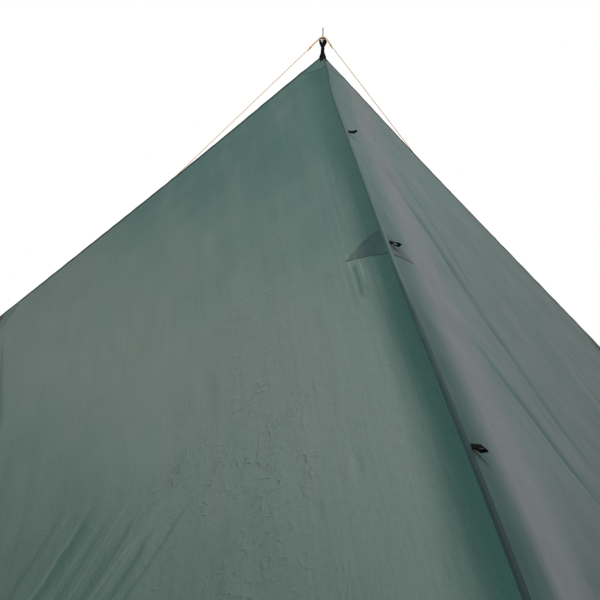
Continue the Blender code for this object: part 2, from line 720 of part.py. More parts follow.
def apex_surface(x, y, lift):
    """Height of the roof over the apex at a plan place, lift metres out from the cloth's planes."""
    ridge = APEX_HEIGHT + tan(RIDGE_SLOPE) * (y + APEX_SETBACK)
    fall = abs(x) / (tan(PANEL_SPLAY) * cos(RIDGE_SLOPE))
    return ridge - fall + lift / (cos(RIDGE_SLOPE) * sin(PANEL_SPLAY))


def apex_saddle(inner, outer):
    """The strap's lower part, folded over the seam and sewn down."""
    crest = RIDGE_UP / sin(PANEL_SPLAY)
    half = APEX_SADDLE_HALF_WIDTH
    rows = []
    for b in (APEX_SADDLE_START, APEX_SADDLE_LENGTH):
        ridge = APEX + RIDGE * b
        rows.append(
            [
                on_cloth(LEFT, half, b, outer),
                ridge + crest * outer,
                on_cloth(RIGHT, half, b, outer),
                on_cloth(RIGHT, half, b, inner),
                ridge + crest * inner,
                on_cloth(LEFT, half, b, inner),
            ]
        )
    return mesh_object("apex_loop", swept(rows), "webbing")


def apex_neck(lift):
    """The gathered part between the saddle and the loop."""
    root_half, root_depth = NECK_ROOT
    root = (None, root_half, -APEX_SETBACK - NECK_SET_BACK, root_depth)
    rows = []
    for height, half, y, depth in (root, *NECK_STATIONS):
        row = []
        for step_y, steps_x in ((-depth, (-half, 0.0, half)), (depth, (half, 0.0, -half))):
            for x in steps_x:
                z = apex_surface(x, y + step_y, lift) if height is None else APEX_HEIGHT + height
                row.append(Vector((x, y + step_y, z)))
        rows.append(row)
    return mesh_object("neck", swept(rows), "webbing")


def apex_ring():
    """The open top of the strap, which widens from the neck and comes forward over the pole."""
    reach = APEX_LOOP_HEIGHT - APEX_WAIST_HEIGHT
    edges = drop_outline(reach, 2 * APEX_LOOP_HALF_WIDTH - 2 * WEBBING_THICKNESS, RING_TAIL)

    def place(out, x, way):
        height = APEX_WAIST_HEIGHT + out
        y = NECK_FRONT_Y * (1 - smooth_step(height, *RING_FORWARD))
        widened = smooth_step(height, *RING_WIDENS)
        depth = NECK_HALF_DEPTH + (APEX_STRAP_WIDTH / 2 - NECK_HALF_DEPTH) * widened
        return Vector((x, y + way * depth, APEX_HEIGHT + height))

    shape = strap_solid(edges, place)
    return mesh_object("ring", shape, "webbing")


def apex_loop():
    """The strap at the apex: a sewn saddle, a gathered neck, and an open loop over the pole's pin."""
    inner = 2 * CLEARANCE + SEAM_THICKNESS
    outer = inner + WEBBING_THICKNESS
    loop = apex_saddle(inner, outer)
    cut(loop, apex_neck((inner + outer) / 2), "UNION")
    cut(loop, apex_ring(), "UNION")
    hole = rod(
        "pin_hole",
        Vector((0, 0, LOOP_TOP - RING_TAIL)),
        Vector((0, 0, LOOP_TOP + RING_TAIL)),
        TIP_PIN_RADIUS + CLEARANCE,
        "webbing",
    )
    cut(loop, hole)


def pole_heights():
    """Ends of the pole's three tubes, from the ground up."""
    lower_top = FOOT_FLOOR + CLEARANCE + LOWER_TUBE_LENGTH
    middle_bottom = lower_top - LOWER_INSERTION
    middle_top = middle_bottom + MIDDLE_TUBE_LENGTH
    upper_bottom = middle_top - UPPER_INSERTION
    return lower_top, middle_bottom, middle_top, upper_bottom, APEX_HEIGHT - TUBE_TOP_DROP


def pole():
    """Three telescoping tubes, their guide bushes, the rubber foot and the turned tip."""
    lower_top, middle_bottom, middle_top, upper_bottom, upper_top = pole_heights()
    mesh_object(
        "pole_lower_tube",
        tube(LOWER_TUBE_RADIUS, FOOT_FLOOR + CLEARANCE, lower_top),
        "aluminium",
        smooth=True,
    )
    mesh_object(
        "pole_middle_tube",
        tube(MIDDLE_TUBE_RADIUS, middle_bottom, middle_top),
        "aluminium",
        smooth=True,
    )
    mesh_object(
        "pole_upper_tube",
        tube(UPPER_TUBE_RADIUS, upper_bottom, upper_top),
        "aluminium",
        smooth=True,
    )
    guide_bush("lower_guide_bush", middle_bottom, MIDDLE_TUBE_RADIUS, LOWER_TUBE_RADIUS)
    guide_bush("upper_guide_bush", upper_bottom, UPPER_TUBE_RADIUS, MIDDLE_TUBE_RADIUS)
    socket = LOWER_TUBE_RADIUS + CLEARANCE
    tread_top, sleeve_start = FOOT_TREAD
    rim_inset, rim_drop = FOOT_RIM
    foot = [
        (FOOT_RADIUS - FOOT_EDGE, 0.0),
        (FOOT_RADIUS, FOOT_EDGE),
        (FOOT_RADIUS, tread_top),
        (FOOT_TOP_RADIUS, sleeve_start),
        (FOOT_TOP_RADIUS, FOOT_HEIGHT - rim_drop),
        (FOOT_TOP_RADIUS - rim_inset, FOOT_HEIGHT),
        (socket, FOOT_HEIGHT),
        (socket, FOOT_FLOOR),
    ]
    mesh_object("pole_foot", turned(foot), "rubber", smooth=True)
    shoulder = LOOP_TOP - WEBBING_THICKNESS - TIP_SHOULDER_DROP
    bore = UPPER_TUBE_RADIUS - TUBE_WALL - CLEARANCE
    base = upper_top + CLEARANCE
    chamfer_in, chamfer_up = TIP_PLUG_CHAMFER
    cone = base + TIP_COLLAR_HEIGHT
    pin_end = shoulder + TIP_PIN_LENGTH
    tip = [
        (bore - chamfer_in, base - TIP_PLUG_LENGTH),
        (bore, base - TIP_PLUG_LENGTH + chamfer_up),
        (bore, base),
        (UPPER_TUBE_RADIUS, base),
        (UPPER_TUBE_RADIUS, cone),
        (TIP_STEM_RADIUS + TIP_CONE_FLARE, cone + TIP_CONE_HEIGHT * TIP_CONE_BEND),
        (TIP_STEM_RADIUS, cone + TIP_CONE_HEIGHT),
        (TIP_STEM_RADIUS, shoulder),
        (TIP_PIN_RADIUS, shoulder),
        (TIP_PIN_RADIUS, pin_end - TIP_PIN_CHAMFER),
        (TIP_PIN_RADIUS * TIP_PIN_END, pin_end),
    ]
    mesh_object("pole_tip", turned(tip), "steel", smooth=True)


def guide_bush(name, bottom, inner_tube, outer_tube):
    """A ring on the inner tube's lower end that runs in the outer tube's bore."""
    running = outer_tube - TUBE_WALL - RUNNING_GAP
    plug = inner_tube - TUBE_WALL - CLEARANCE
    flange_top = bottom - CLEARANCE
    flange_bottom = flange_top - BUSH_FLANGE
    profile = [
        (plug - BUSH_WALL, flange_bottom),
        (running - BUSH_CHAMFER, flange_bottom),
        (running, flange_bottom + BUSH_CHAMFER),
        (running, flange_top),
        (plug, flange_top),
        (plug, flange_top + BUSH_LENGTH),
        (plug - BUSH_WALL, flange_top + BUSH_LENGTH),
    ]
    mesh_object(name, turned(profile, closed=True), "plastic", smooth=True)


def clamp_frame(outer_tube, inner_tube, end):
    """The sizes that a clamp's pieces share."""
    outside = outer_tube + CLEARANCE + CLAMP_WALL
    pivot_y = CLAMP_SLOT / 2 + EAR_THICKNESS + KNUCKLE_RADIUS * KNUCKLE_OFFSET
    pivot = Vector((outside + EAR_LENGTH - KNUCKLE_RADIUS, pivot_y, 0))
    return {
        "outside": outside,
        "outer_bore": outer_tube + CLEARANCE,
        "inner_bore": inner_tube + CLEARANCE,
        "bottom": end + CLAMP_GRIP_HEIGHT - CLAMP_HEIGHT,
        "step": end + CLEARANCE,
        "top": end + CLAMP_GRIP_HEIGHT,
        "middle": end + CLAMP_GRIP_HEIGHT - CLAMP_HEIGHT / 2,
        "pivot": pivot,
        "screw": outside + EAR_LENGTH / 2,
    }


def box(low, high):
    """A plain block as a bmesh."""
    shape = bmesh.new()
    bmesh.ops.create_cube(shape, size=1.0)
    for v in shape.verts:
        v.co = Vector([low[k] + (v.co[k] + 0.5) * (high[k] - low[k]) for k in range(3)])
    return shape


def clamp_body(name, f):
    """A split collar with a stepped bore and two ears beside the split."""
    outside = f["outside"]
    profile = [
        (outside - CLAMP_BOTTOM_EDGE, f["bottom"]),
        (outside, f["bottom"] + CLAMP_BOTTOM_EDGE),
        (outside, f["top"] - CLAMP_TOP_EDGE),
        (outside - CLAMP_TOP_EDGE, f["top"]),
        (f["inner_bore"], f["top"]),
        (f["inner_bore"], f["step"]),
        (f["outer_bore"], f["step"]),
        (f["outer_bore"], f["bottom"]),
    ]
    body = mesh_object(name, turned(profile, closed=True), "plastic", smooth=True)
    half = CLAMP_SLOT / 2 + EAR_THICKNESS
    low = Vector((outside - CLAMP_WALL * EAR_ROOT, -half, f["bottom"] + EAR_INSET))
    high = Vector((outside + EAR_LENGTH, half, f["top"] - EAR_INSET))
    ears = mesh_object("ears", box(low, high), "plastic")
    cut(body, ears, "UNION")
    split_low = Vector((f["inner_bore"] / 2, -CLAMP_SLOT / 2, f["bottom"] - OVERCUT))
    split_high = Vector((outside + EAR_LENGTH + OVERCUT, CLAMP_SLOT / 2, f["top"] + OVERCUT))
    cut(body, mesh_object("split", box(split_low, split_high), "plastic"))
    place = Vector((f["screw"], 0, f["middle"]))
    near = Vector((0, -half - OVERCUT, 0))
    far = Vector((0, CLAMP_SLOT / 2 + SCREW_GRIP + CLEARANCE, 0))
    cut(body, rod("screw_way", place + near, place + far, SCREW_RADIUS + CLEARANCE, "plastic"))
    knuckle_cut = rod(
        "knuckle_way",
        f["pivot"] + Vector((0, 0, f["middle"] - LEVER_HEIGHT / 2 - CLEARANCE)),
        f["pivot"] + Vector((0, 0, f["middle"] + LEVER_HEIGHT / 2 + CLEARANCE)),
        KNUCKLE_RADIUS + CLEARANCE * 2,
        "plastic",
        sides=KNUCKLE_SIDES,
    )
    for sign in (-1, 1):
        start = f["middle"] + sign * (LEVER_HEIGHT / 2 + CLEARANCE)
        stop = f["middle"] + sign * (CLAMP_HEIGHT / 2 - EAR_INSET)
        lug = rod(
            "lug",
            f["pivot"] + Vector((0, 0, min(start, stop))),
            f["pivot"] + Vector((0, 0, max(start, stop))),
            KNUCKLE_RADIUS,
            "plastic",
            sides=KNUCKLE_SIDES,
        )
        cut(body, lug, "UNION")
    cut(body, knuckle_cut)
    pin_way = rod(
        "pin_way",
        f["pivot"] + Vector((0, 0, f["bottom"])),
        f["pivot"] + Vector((0, 0, f["top"])),
        PIN_RADIUS + CLEARANCE,
        "plastic",
    )
    cut(body, pin_way)
    return body


def clamp_lever(name, f):
    """The curved lever that closes round the collar and turns on an upright pin."""
    inner = f["outside"] + LEVER_GAP
    pivot = f["pivot"]
    start = atan2(pivot.y, pivot.x)
    low, high = f["middle"] - LEVER_HEIGHT / 2, f["middle"] + LEVER_HEIGHT / 2
    inside, outside = [], []
    joint_radius = hypot(pivot.x, pivot.y)
    for i in range(LEVER_STEPS + 1):
        share = i / LEVER_STEPS
        angle = start + LEVER_SWEEP * share
        to_joint = (1 - min(share * LEVER_JOINT_END, 1.0)) ** 2
        flared = max(share - LEVER_FLARE_START, 0) / (1 - LEVER_FLARE_START)
        tapered = max(share - LEVER_TAPER_START, 0) / (1 - LEVER_TAPER_START)
        near = inner + (joint_radius - LEVER_THICKNESS / 2 - inner) * to_joint + LEVER_FLARE * flared**2
        thick = LEVER_THICKNESS * (1 - LEVER_TAPER * tapered)
        inside.append(Vector((near * cos(angle), near * sin(angle), 0)))
        outside.append(Vector(((near + thick) * cos(angle), (near + thick) * sin(angle), 0)))
    outline = inside + outside[::-1]
    rows = [[p + Vector((0, 0, z)) for p in outline] for z in (low, high)]
    lever = mesh_object(name, swept(rows), "plastic")
    knuckle = rod(
        "knuckle",
        pivot + Vector((0, 0, low)),
        pivot + Vector((0, 0, high)),
        KNUCKLE_RADIUS,
        "plastic",
        sides=KNUCKLE_SIDES,
    )
    cut(lever, knuckle, "UNION")
    way = rod(
        "way",
        pivot + Vector((0, 0, low - OVERCUT)),
        pivot + Vector((0, 0, high + OVERCUT)),
        PIN_RADIUS + CLEARANCE,
        "plastic",
    )
    cut(lever, way)
    centre = pivot + Vector((0, 0, f["middle"]))
    lever.data.transform(Matrix.Translation(-centre))
    lever.location = centre
    return lever


def clamp_screw(name, f):
    """The cross screw that draws the ears together, with its head on the side away from the lever."""
    place = Vector((f["screw"], 0, f["middle"]))
    ear = -CLAMP_SLOT / 2 - EAR_THICKNESS - CLEARANCE
    head = ear - SCREW_HEAD_HEIGHT
    stations = (
        (SCREW_HEAD_RADIUS * SCREW_HEAD_TAPER, head),
        (SCREW_HEAD_RADIUS, head + SCREW_HEAD_EDGE),
        (SCREW_HEAD_RADIUS, ear),
        (SCREW_RADIUS, ear),
        (SCREW_RADIUS, CLAMP_SLOT / 2 + SCREW_GRIP),
    )
    rows = []
    for radius, y in stations:
        turns = [2 * pi * i / SCREW_SIDES for i in range(SCREW_SIDES)]
        rows.append([place + Vector((cos(t) * radius, y, sin(t) * radius)) for t in turns])
    return mesh_object(name, swept(rows), "steel", smooth=True)


def clamp(which, outer_tube, inner_tube, end):
    """One flip-lever clamp on the upper end of a tube."""
    f = clamp_frame(outer_tube, inner_tube, end)
    clamp_body(f"{which}_clamp_body", f)
    clamp_lever(f"{which}_clamp_lever", f)
    rod(
        f"{which}_clamp_pin",
        f["pivot"] + Vector((0, 0, f["bottom"] + EAR_INSET)),
        f["pivot"] + Vector((0, 0, f["top"] - EAR_INSET)),
        PIN_RADIUS,
        "steel",
    )
    clamp_screw(f"{which}_clamp_screw", f)


def guy_frame(side, level):
    """The guyline's own axes: start on the pin, plan direction, sideways, and the falling line."""
    start = Vector((0, 0, LOOP_TOP + CLEARANCE + CORD_RADIUS + level * (2 * CORD_RADIUS + CLEARANCE)))
    plan = Vector((side * GUY_AIM_X, GUY_AIM_Y, 0))
    fall = start.z / plan.length
    plan.normalize()
    sideways = Vector((plan.y, -plan.x, 0)) * side
    line = (plan - Vector((0, 0, fall))).normalized()
    return start, plan, sideways, line, fall


def smooth_route(points, steps):
    """Points of a smooth curve through a route's own points; steps says how many for each stretch."""
    padded = [points[0] * 2 - points[1]] + points + [points[-1] * 2 - points[-2]]
    made = []
    for i, count in enumerate(steps):
        p0, p1, p2, p3 = padded[i : i + 4]
        for k in range(count):
            t = k / count
            made.append(
                0.5
                * (
                    2 * p1
                    + (p2 - p0) * t
                    + (2 * p0 - 5 * p1 + 4 * p2 - p3) * t * t
                    + (3 * p1 - p0 - 3 * p2 + p3) * t**3
                )
            )
    return made + [points[-1]]


def guy_points(side, level, reach, knot_place):
    """A guyline's centreline: tail, knot turns, eye round the pin, long run, loop and return strand."""
    start, plan, sideways, line, fall = guy_frame(side, level)

    def place(along, off, lift=0.0):
        """along from the pin in plan near it, then down the falling line."""
        drop = max(along - GUY_SLOPE_START, 0.0)
        rise = start + plan * min(along, GUY_SLOPE_START) + line * drop
        return rise + sideways * off + plan.cross(sideways) * lift * side

    knot_start = knot_place - KNOT_TURNS * KNOT_PITCH / 2
    knot_end = knot_place + KNOT_TURNS * KNOT_PITCH / 2
    lifting = line.cross(sideways).normalized()
    turns = []
    count = int(KNOT_TURNS * KNOT_POINTS_A_TURN)
    for i in range(count + 1):
        angle = pi + 2 * pi * i / KNOT_POINTS_A_TURN
        along = knot_end - i * KNOT_PITCH / KNOT_POINTS_A_TURN
        turns.append(place(along, 0) + (sideways * cos(angle) + lifting * sin(angle)) * KNOT_RADIUS)
    # The tail leaves the last turn and runs on beside the line.
    tail_off, bend_off = KNOT_TAIL_OFFSETS
    tail = [place(knot_end + KNOT_TAIL, -tail_off), place(knot_end + KNOT_LEAD, -bend_off)]
    eye_radius = TIP_PIN_RADIUS + CORD_RADIUS + CLEARANCE
    last_side = 1 if cos(pi + 2 * pi * count / KNOT_POINTS_A_TURN) > 0 else -1
    at_knot, half_way = RETURN_OFFSETS
    back = [
        place(knot_start - KNOT_LEAD, last_side * at_knot),
        place(knot_start / 2, last_side * half_way),
        place(GUY_SLOPE_START, last_side * eye_radius),
        place(eye_radius, last_side * eye_radius),
    ]
    eye = []
    for i in range(1, EYE_STEPS):
        angle = pi / 2 - pi * i / EYE_STEPS
        turned_off = sideways * last_side * sin(angle) - plan * cos(angle)
        eye.append(start + turned_off * eye_radius)
    half_way, at_knot = OUTGOING_OFFSETS
    out = [
        place(eye_radius, -last_side * eye_radius),
        place(GUY_SLOPE_START, -last_side * eye_radius),
        place(knot_start / 2, -last_side * half_way),
        place(knot_start - KNOT_LEAD, -last_side * at_knot),
        place(knot_place, 0),
        place(knot_end + RUN_START, 0),
        place(reach / 2, 0),
    ]
    slider = reach - SLIDER_TO_LOOP_END
    gap = STRAND_SPACING
    far = [place(slider, 0)]
    far += [place(reach - before, -spread) for before, spread in LINE_LOOP]
    far.append(place(reach, gap / 2))
    far += [place(reach - before, gap + spread) for before, spread in reversed(LINE_LOOP)]
    far += [place(slider, gap), place(slider - LINE_TAIL, gap)]
    first = smooth_route(tail + [turns[0]], [2, 2])[:-1]
    steps = [2] * 3 + [1] * 10 + [2] * 2 + [1] * 5 + [2] * 8 + [1] * 2
    rest = smooth_route([turns[-1]] + back + eye + out + far, steps)
    return first + turns[:-1] + rest


def least_gap(points):
    """The least gap between a cord and itself, between points that aren't neighbours along it."""
    least = 1.0
    for i, p in enumerate(points):
        run = 0.0
        for j in range(i + 1, len(points)):
            run += (points[j] - points[j - 1]).length
            if run > 6 * CORD_RADIUS:
                least = min(least, (points[j] - p).length - 2 * CORD_RADIUS)
    return least


def guyline(side_name, side, level, reach, knot_place):
    points = guy_points(side, level, reach, knot_place)
    curve = bpy.data.curves.new(f"guyline_{side_name}", "CURVE")
    curve.dimensions = "3D"
    curve.bevel_depth = CORD_RADIUS
    curve.bevel_resolution = 2
    curve.use_fill_caps = True
    spline = curve.splines.new("POLY")
    spline.points.add(len(points) - 1)
    for target, point in zip(spline.points, points):
        target.co = (*point, 1.0)
    add_object(f"guyline_{side_name}", curve, "cord")
    length = sum((b - a).length for a, b in zip(points, points[1:]))
    gap = least_gap(points)
    print(f"guyline_{side_name}: {len(points)} points, {length:.3f} m, least gap {gap:.5f} m")


def line_slider(side_name, side, level, reach):
    """A two-hole slider that sets the size of the guyline's loop."""
    start, plan, sideways, line, fall = guy_frame(side, level)
    up = line.cross(sideways).normalized()
    middle = start + plan * GUY_SLOPE_START + line * (reach - SLIDER_TO_LOOP_END - GUY_SLOPE_START)
    middle += sideways * STRAND_SPACING / 2
    long, wide, thick = (size / 2 for size in SLIDER_SIZE)
    chamfer = SLIDER_CHAMFER
    outline = (
        (-wide, -thick + chamfer),
        (-wide + chamfer, -thick),
        (wide - chamfer, -thick),
        (wide, -thick + chamfer),
        (wide, thick - chamfer),
        (wide - chamfer, thick),
        (-wide + chamfer, thick),
        (-wide, thick - chamfer),
    )
    waist = SLIDER_END_ROUNDING
    rows = []
    for along, inset in ((-long, waist), (-long + waist, 0.0), (long - waist, 0.0), (long, waist)):
        rows.append(
            [
                middle + line * along + sideways * x * (1 - inset / wide) + up * y * (1 - inset / thick)
                for x, y in outline
            ]
        )
    slider = mesh_object(f"line_slider_{side_name}", swept(rows), "aluminium")
    for off in (-STRAND_SPACING / 2, STRAND_SPACING / 2):
        centre = middle + sideways * off
        reach_out = line * (long + OVERCUT)
        cut(slider, rod("way", centre - reach_out, centre + reach_out, SLIDER_HOLE_RADIUS, "aluminium"))


def build():
    for old in list(bpy.data.objects):
        bpy.data.objects.remove(old)
    for side_name, side in (("left", LEFT), ("right", RIGHT)):
        panel(f"{side_name}_panel", side)
        front_edge(side_name, side)
        side_edge_hem(side_name, side)
        rear_edge_hem(side_name, side)
        patches(side_name, side)
        corner_loops(side_name, side)
    ridge_seam()
    ridge_loops()
    rear_ridge_loop()
    apex_loop()
    pole()
    lower_top, _, middle_top, _, _ = pole_heights()
    clamp("lower", LOWER_TUBE_RADIUS, MIDDLE_TUBE_RADIUS, lower_top)
    clamp("upper", MIDDLE_TUBE_RADIUS, UPPER_TUBE_RADIUS, middle_top)
    guyline("left", LEFT, 0, LEFT_GUY_REACH, LEFT_KNOT_PLACE)
    guyline("right", RIGHT, 1, RIGHT_GUY_REACH, RIGHT_KNOT_PLACE)
    line_slider("left", LEFT, 0, LEFT_GUY_REACH)
    line_slider("right", RIGHT, 1, RIGHT_GUY_REACH)


build()
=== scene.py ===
from math import copysign, cos, hypot, pi, radians, sin

import bmesh
import bpy
import numpy as np
from mathutils import Matrix, Vector


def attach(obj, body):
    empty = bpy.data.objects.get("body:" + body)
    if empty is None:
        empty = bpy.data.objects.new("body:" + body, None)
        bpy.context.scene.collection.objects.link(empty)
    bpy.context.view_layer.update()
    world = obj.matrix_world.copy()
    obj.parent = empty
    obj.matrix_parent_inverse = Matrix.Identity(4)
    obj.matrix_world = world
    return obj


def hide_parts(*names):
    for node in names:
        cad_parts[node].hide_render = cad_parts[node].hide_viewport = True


# Sizes shared with the part's solids, in metres
PANEL_WIDTH = 1.5
TARP_LENGTH = 3.0
RIDGE_SLOPE = radians(25.0)
PANEL_SPLAY = radians(47.75)
REAR_CORNER_HEIGHT = 0.0321
APEX_SETBACK = 0.0145
SIDE_HOLLOW = 0.020
REAR_HOLLOW = 0.015
BELLY_DEPTH = 0.035
FLAT_AT_RIDGE = 0.130
FLAT_AT_SIDE = 0.070
FLAT_AT_ENDS = 0.130
FLAT_AT_CORNERS = 0.350
FOLD_RISE = 0.250
LEFT_FOLDS = (
    ((0.45, 1.70), (1.10, 2.50), 0.085, 0.014),
    ((0.72, 1.45), (1.28, 2.45), 0.085, 0.014),
    ((0.22, 1.95), (0.80, 2.72), 0.080, 0.012),
    ((0.42, 0.75), (1.00, 1.65), 0.110, 0.009),
)
RIGHT_FOLDS = (
    ((0.12, 0.20), (0.62, 1.50), 0.085, 0.013),
    ((0.20, 1.50), (0.66, 2.20), 0.080, 0.012),
    ((0.62, 1.05), (1.22, 2.35), 0.095, 0.014),
    ((0.55, 0.35), (1.15, 1.45), 0.110, 0.009),
)
SEAM_LEFT_WIDTH = 0.003
SEAM_RIGHT_WIDTH = 0.0135
RIDGE_BOW = 0.0112
BOW_RISE = (0.125, 0.325)
BOW_FALL = (1.550, 1.050)
BOW_FADE = 0.470
CLOTH_COLUMNS = 261
CLOTH_ROWS = 441
DENSE_COLUMNS_POWER = 1.2
DENSE_ROWS_AT = 0.58
DENSE_ROWS_PULL = 0.07
CLOTH_DROP = 0.0004
APEX_LIFT = 0.012
APEX_LIFT_REACH = 0.35
HEM_WIDTH = 0.010
WEBBING_THICKNESS = 0.0012
RIDGE_LOOP_SPACING = 0.750
RIDGE_LOOP_WIDTH = 0.012
RIDGE_LOOP_REACH = 0.024
RIDGE_LOOP_ROOT = 0.0143
CORNER_LOOP_WIDTH = 0.015
CORNER_LOOP_REACH = 0.045
CORNER_LOOP_OPENING = 0.016
CORNER_LOOP_TAIL = 0.029
CORNER_LOOP_START = 0.004
APEX_LOOP_HEIGHT = 0.0705
APEX_STRAP_WIDTH = 0.0130
APEX_SADDLE_LENGTH = 0.045
APEX_SADDLE_HALF_WIDTH = 0.0125
CORNER_DARK_REACH = 0.125
CENTRE_PATCH_PLACE = 1.500

# The guylines' route, as in the part's solids
GUY_AIM_X = 2.37
GUY_AIM_Y = 1.45
CORD_RADIUS = 0.0010
CLEARANCE = 0.0003
TIP_PIN_RADIUS = 0.0025
LEFT_GUY_REACH = 0.95
RIGHT_GUY_REACH = 0.80
LEFT_KNOT_PLACE = 0.052
RIGHT_KNOT_PLACE = 0.040
KNOT_TURNS = 2.5
KNOT_RADIUS = 0.0026
KNOT_PITCH = 0.0027
KNOT_POINTS_A_TURN = 10
KNOT_TAIL = 0.011
STRAND_SPACING = 0.008
SLIDER_TO_LOOP_END = 0.130
LINE_TAIL = 0.045
GUY_SLOPE_START = 0.0085

# Camera, at the photograph's place
CAMERA_PLACE = Vector((-0.38561, -3.61923, 1.44809))
CAMERA_RIGHT = Vector((0.995002, -0.093951, 0.033825))
CAMERA_UP = Vector((-0.033744, 0.001654, 0.999428))
CAMERA_LENS = 69.0

RIDGE = Vector((0, -cos(RIDGE_SLOPE), -sin(RIDGE_SLOPE)))
RIDGE_UP = Vector((0, -sin(RIDGE_SLOPE), cos(RIDGE_SLOPE)))
APEX_HEIGHT = (
    REAR_CORNER_HEIGHT
    + TARP_LENGTH * sin(RIDGE_SLOPE)
    + PANEL_WIDTH * cos(PANEL_SPLAY) * cos(RIDGE_SLOPE)
)
APEX = Vector((0, -APEX_SETBACK, APEX_HEIGHT))
LOOP_TOP = APEX_HEIGHT + APEX_LOOP_HEIGHT
LEFT, RIGHT = -1, 1
SIDES = (("left", LEFT), ("right", RIGHT))


def across(side):
    """Unit vector from the ridge down one panel."""
    return Vector((side * sin(PANEL_SPLAY), 0, 0)) - RIDGE_UP * cos(PANEL_SPLAY)


def outward(side):
    """Unit vector out of one panel's weather face."""
    return RIDGE.cross(across(side)) * side


# Relief of the cloth


def smooth_step(value, start, width):
    """Nothing up to start, then a soft rise to one over the width."""
    share = np.clip((value - start) / width, 0.0, 1.0)
    return share * share * (3 - 2 * share)


def swell(value, low, high):
    """A soft rise to one in the middle between low and high."""
    share = np.clip((value - low) / (high - low), 0.0, 1.0)
    return np.sin(pi * share) ** 2


def fold_height(fold, a, b):
    """A long soft fold between two places, highest in its middle."""
    (a0, b0), (a1, b1), half_width, height = fold
    length = hypot(a1 - a0, b1 - b0)
    along = ((a - a0) * (a1 - a0) + (b - b0) * (b1 - b0)) / length
    off = ((a - a0) * (b1 - b0) - (b - b0) * (a1 - a0)) / length
    share = np.clip(along / length, 0.0, 1.0)
    reach = (off / half_width) ** 2 + (along / length - share) ** 2 * 40
    return height * np.exp(-reach) * np.sin(pi * (0.12 + 0.76 * share))


def hung_height(side, a, b):
    """The solids' own relief: the slack belly and the main folds."""
    corner = np.minimum(
        np.hypot(PANEL_WIDTH - a, b),
        np.hypot(PANEL_WIDTH - a, TARP_LENGTH - b),
    )
    at_corner = smooth_step(corner, FLAT_AT_CORNERS, FOLD_RISE)
    belly = swell(a, FLAT_AT_RIDGE, PANEL_WIDTH - FLAT_AT_SIDE)
    belly = belly * swell(b, FLAT_AT_ENDS, TARP_LENGTH - FLAT_AT_ENDS)
    slack = (
        smooth_step(a, FLAT_AT_RIDGE, FOLD_RISE)
        * smooth_step(PANEL_WIDTH - a, FLAT_AT_SIDE, FOLD_RISE)
        * smooth_step(b, FLAT_AT_ENDS, FOLD_RISE)
        * smooth_step(TARP_LENGTH - b, FLAT_AT_ENDS, FOLD_RISE)
    )
    folds = LEFT_FOLDS if side == LEFT else RIGHT_FOLDS
    raised = sum(fold_height(fold, a, b) for fold in folds)
    return at_corner * (slack * raised - belly * BELLY_DEPTH)


# Creases seen in the photograph: path of (across, along) points, half width, height
LEFT_CREASES = (
    # Tension folds that run up from the front corner
    (((0.95, 1.90), (0.90, 1.80), (0.84, 1.71)), 0.010, 0.0046),
    (((1.00, 1.86), (0.92, 1.73), (0.85, 1.60)), 0.009, 0.0036),
    (((0.78, 2.00), (0.72, 1.94), (0.65, 1.88)), 0.009, 0.0040),
    (((0.85, 1.95), (0.75, 1.84), (0.69, 1.71)), 0.020, 0.0046),
    (((0.90, 1.86), (0.84, 1.77), (0.78, 1.68)), 0.013, -0.0044),
    (((0.80, 1.96), (0.73, 1.88), (0.66, 1.78)), 0.012, -0.0036),
    (((0.72, 2.04), (0.66, 1.98), (0.62, 1.92)), 0.012, -0.0032),
    (((1.05, 1.61), (0.99, 1.56)), 0.006, 0.0012),
    (((1.01, 1.76), (0.96, 1.71)), 0.007, 0.0014),
    (((0.62, 1.82), (0.58, 1.78)), 0.006, 0.0014),
    (((0.60, 1.84), (0.57, 1.80)), 0.006, -0.0012),
    (((0.52, 1.93), (0.57, 2.03), (0.60, 2.12)), 0.007, 0.0012),
    (((0.63, 1.86), (0.62, 1.95), (0.66, 2.06)), 0.009, 0.0016),
    # Short dents lower down, near the ridge's belt
    (((0.171, 2.10), (0.169, 2.18)), 0.008, -0.0024),
    (((0.184, 2.10), (0.182, 2.16)), 0.007, 0.0014),
    (((0.202, 2.13), (0.198, 2.19)), 0.006, -0.0014),
    (((0.248, 2.16), (0.253, 2.22)), 0.008, -0.0022),
    (((0.236, 2.15), (0.240, 2.19)), 0.006, 0.0014),
    (((0.118, 2.08), (0.120, 2.15)), 0.005, -0.0010),
    # Crumple lines in the middle of the cloth
    (((0.377, 1.66), (0.353, 1.77), (0.312, 1.83), (0.302, 1.89)), 0.0045, 0.0008),
    (((0.364, 1.87), (0.372, 1.905), (0.352, 1.95), (0.336, 1.99)), 0.0050, 0.0012),
    (((0.365, 1.925), (0.338, 2.00)), 0.0050, -0.0012),
    (((0.309, 2.01), (0.309, 2.075)), 0.0045, 0.0010),
    (((0.340, 2.05), (0.286, 2.095)), 0.0045, -0.0008),
    (((0.393, 1.92), (0.387, 1.995)), 0.0050, 0.0010),
    (((0.307, 2.11), (0.305, 2.15)), 0.0050, -0.0012),
    (((0.467, 1.82), (0.440, 1.89)), 0.0050, 0.0009),
    (((0.452, 1.93), (0.432, 1.995)), 0.0050, 0.0008),
    (((0.881, 1.41), (0.890, 1.49)), 0.0060, 0.0010),
    (((1.040, 1.40), (1.025, 1.49)), 0.0060, 0.0010),
    (((0.549, 1.70), (0.512, 1.79)), 0.0045, 0.0008),
    # Streaks below the tip of the centre patch
    (((0.086, 1.50), (0.089, 1.60), (0.086, 1.72)), 0.0055, 0.0030),
    (((0.065, 1.56), (0.063, 1.62), (0.061, 1.69)), 0.0055, 0.0024),
    (((0.150, 1.60), (0.160, 1.80), (0.190, 2.10)), 0.012, 0.0012),
)
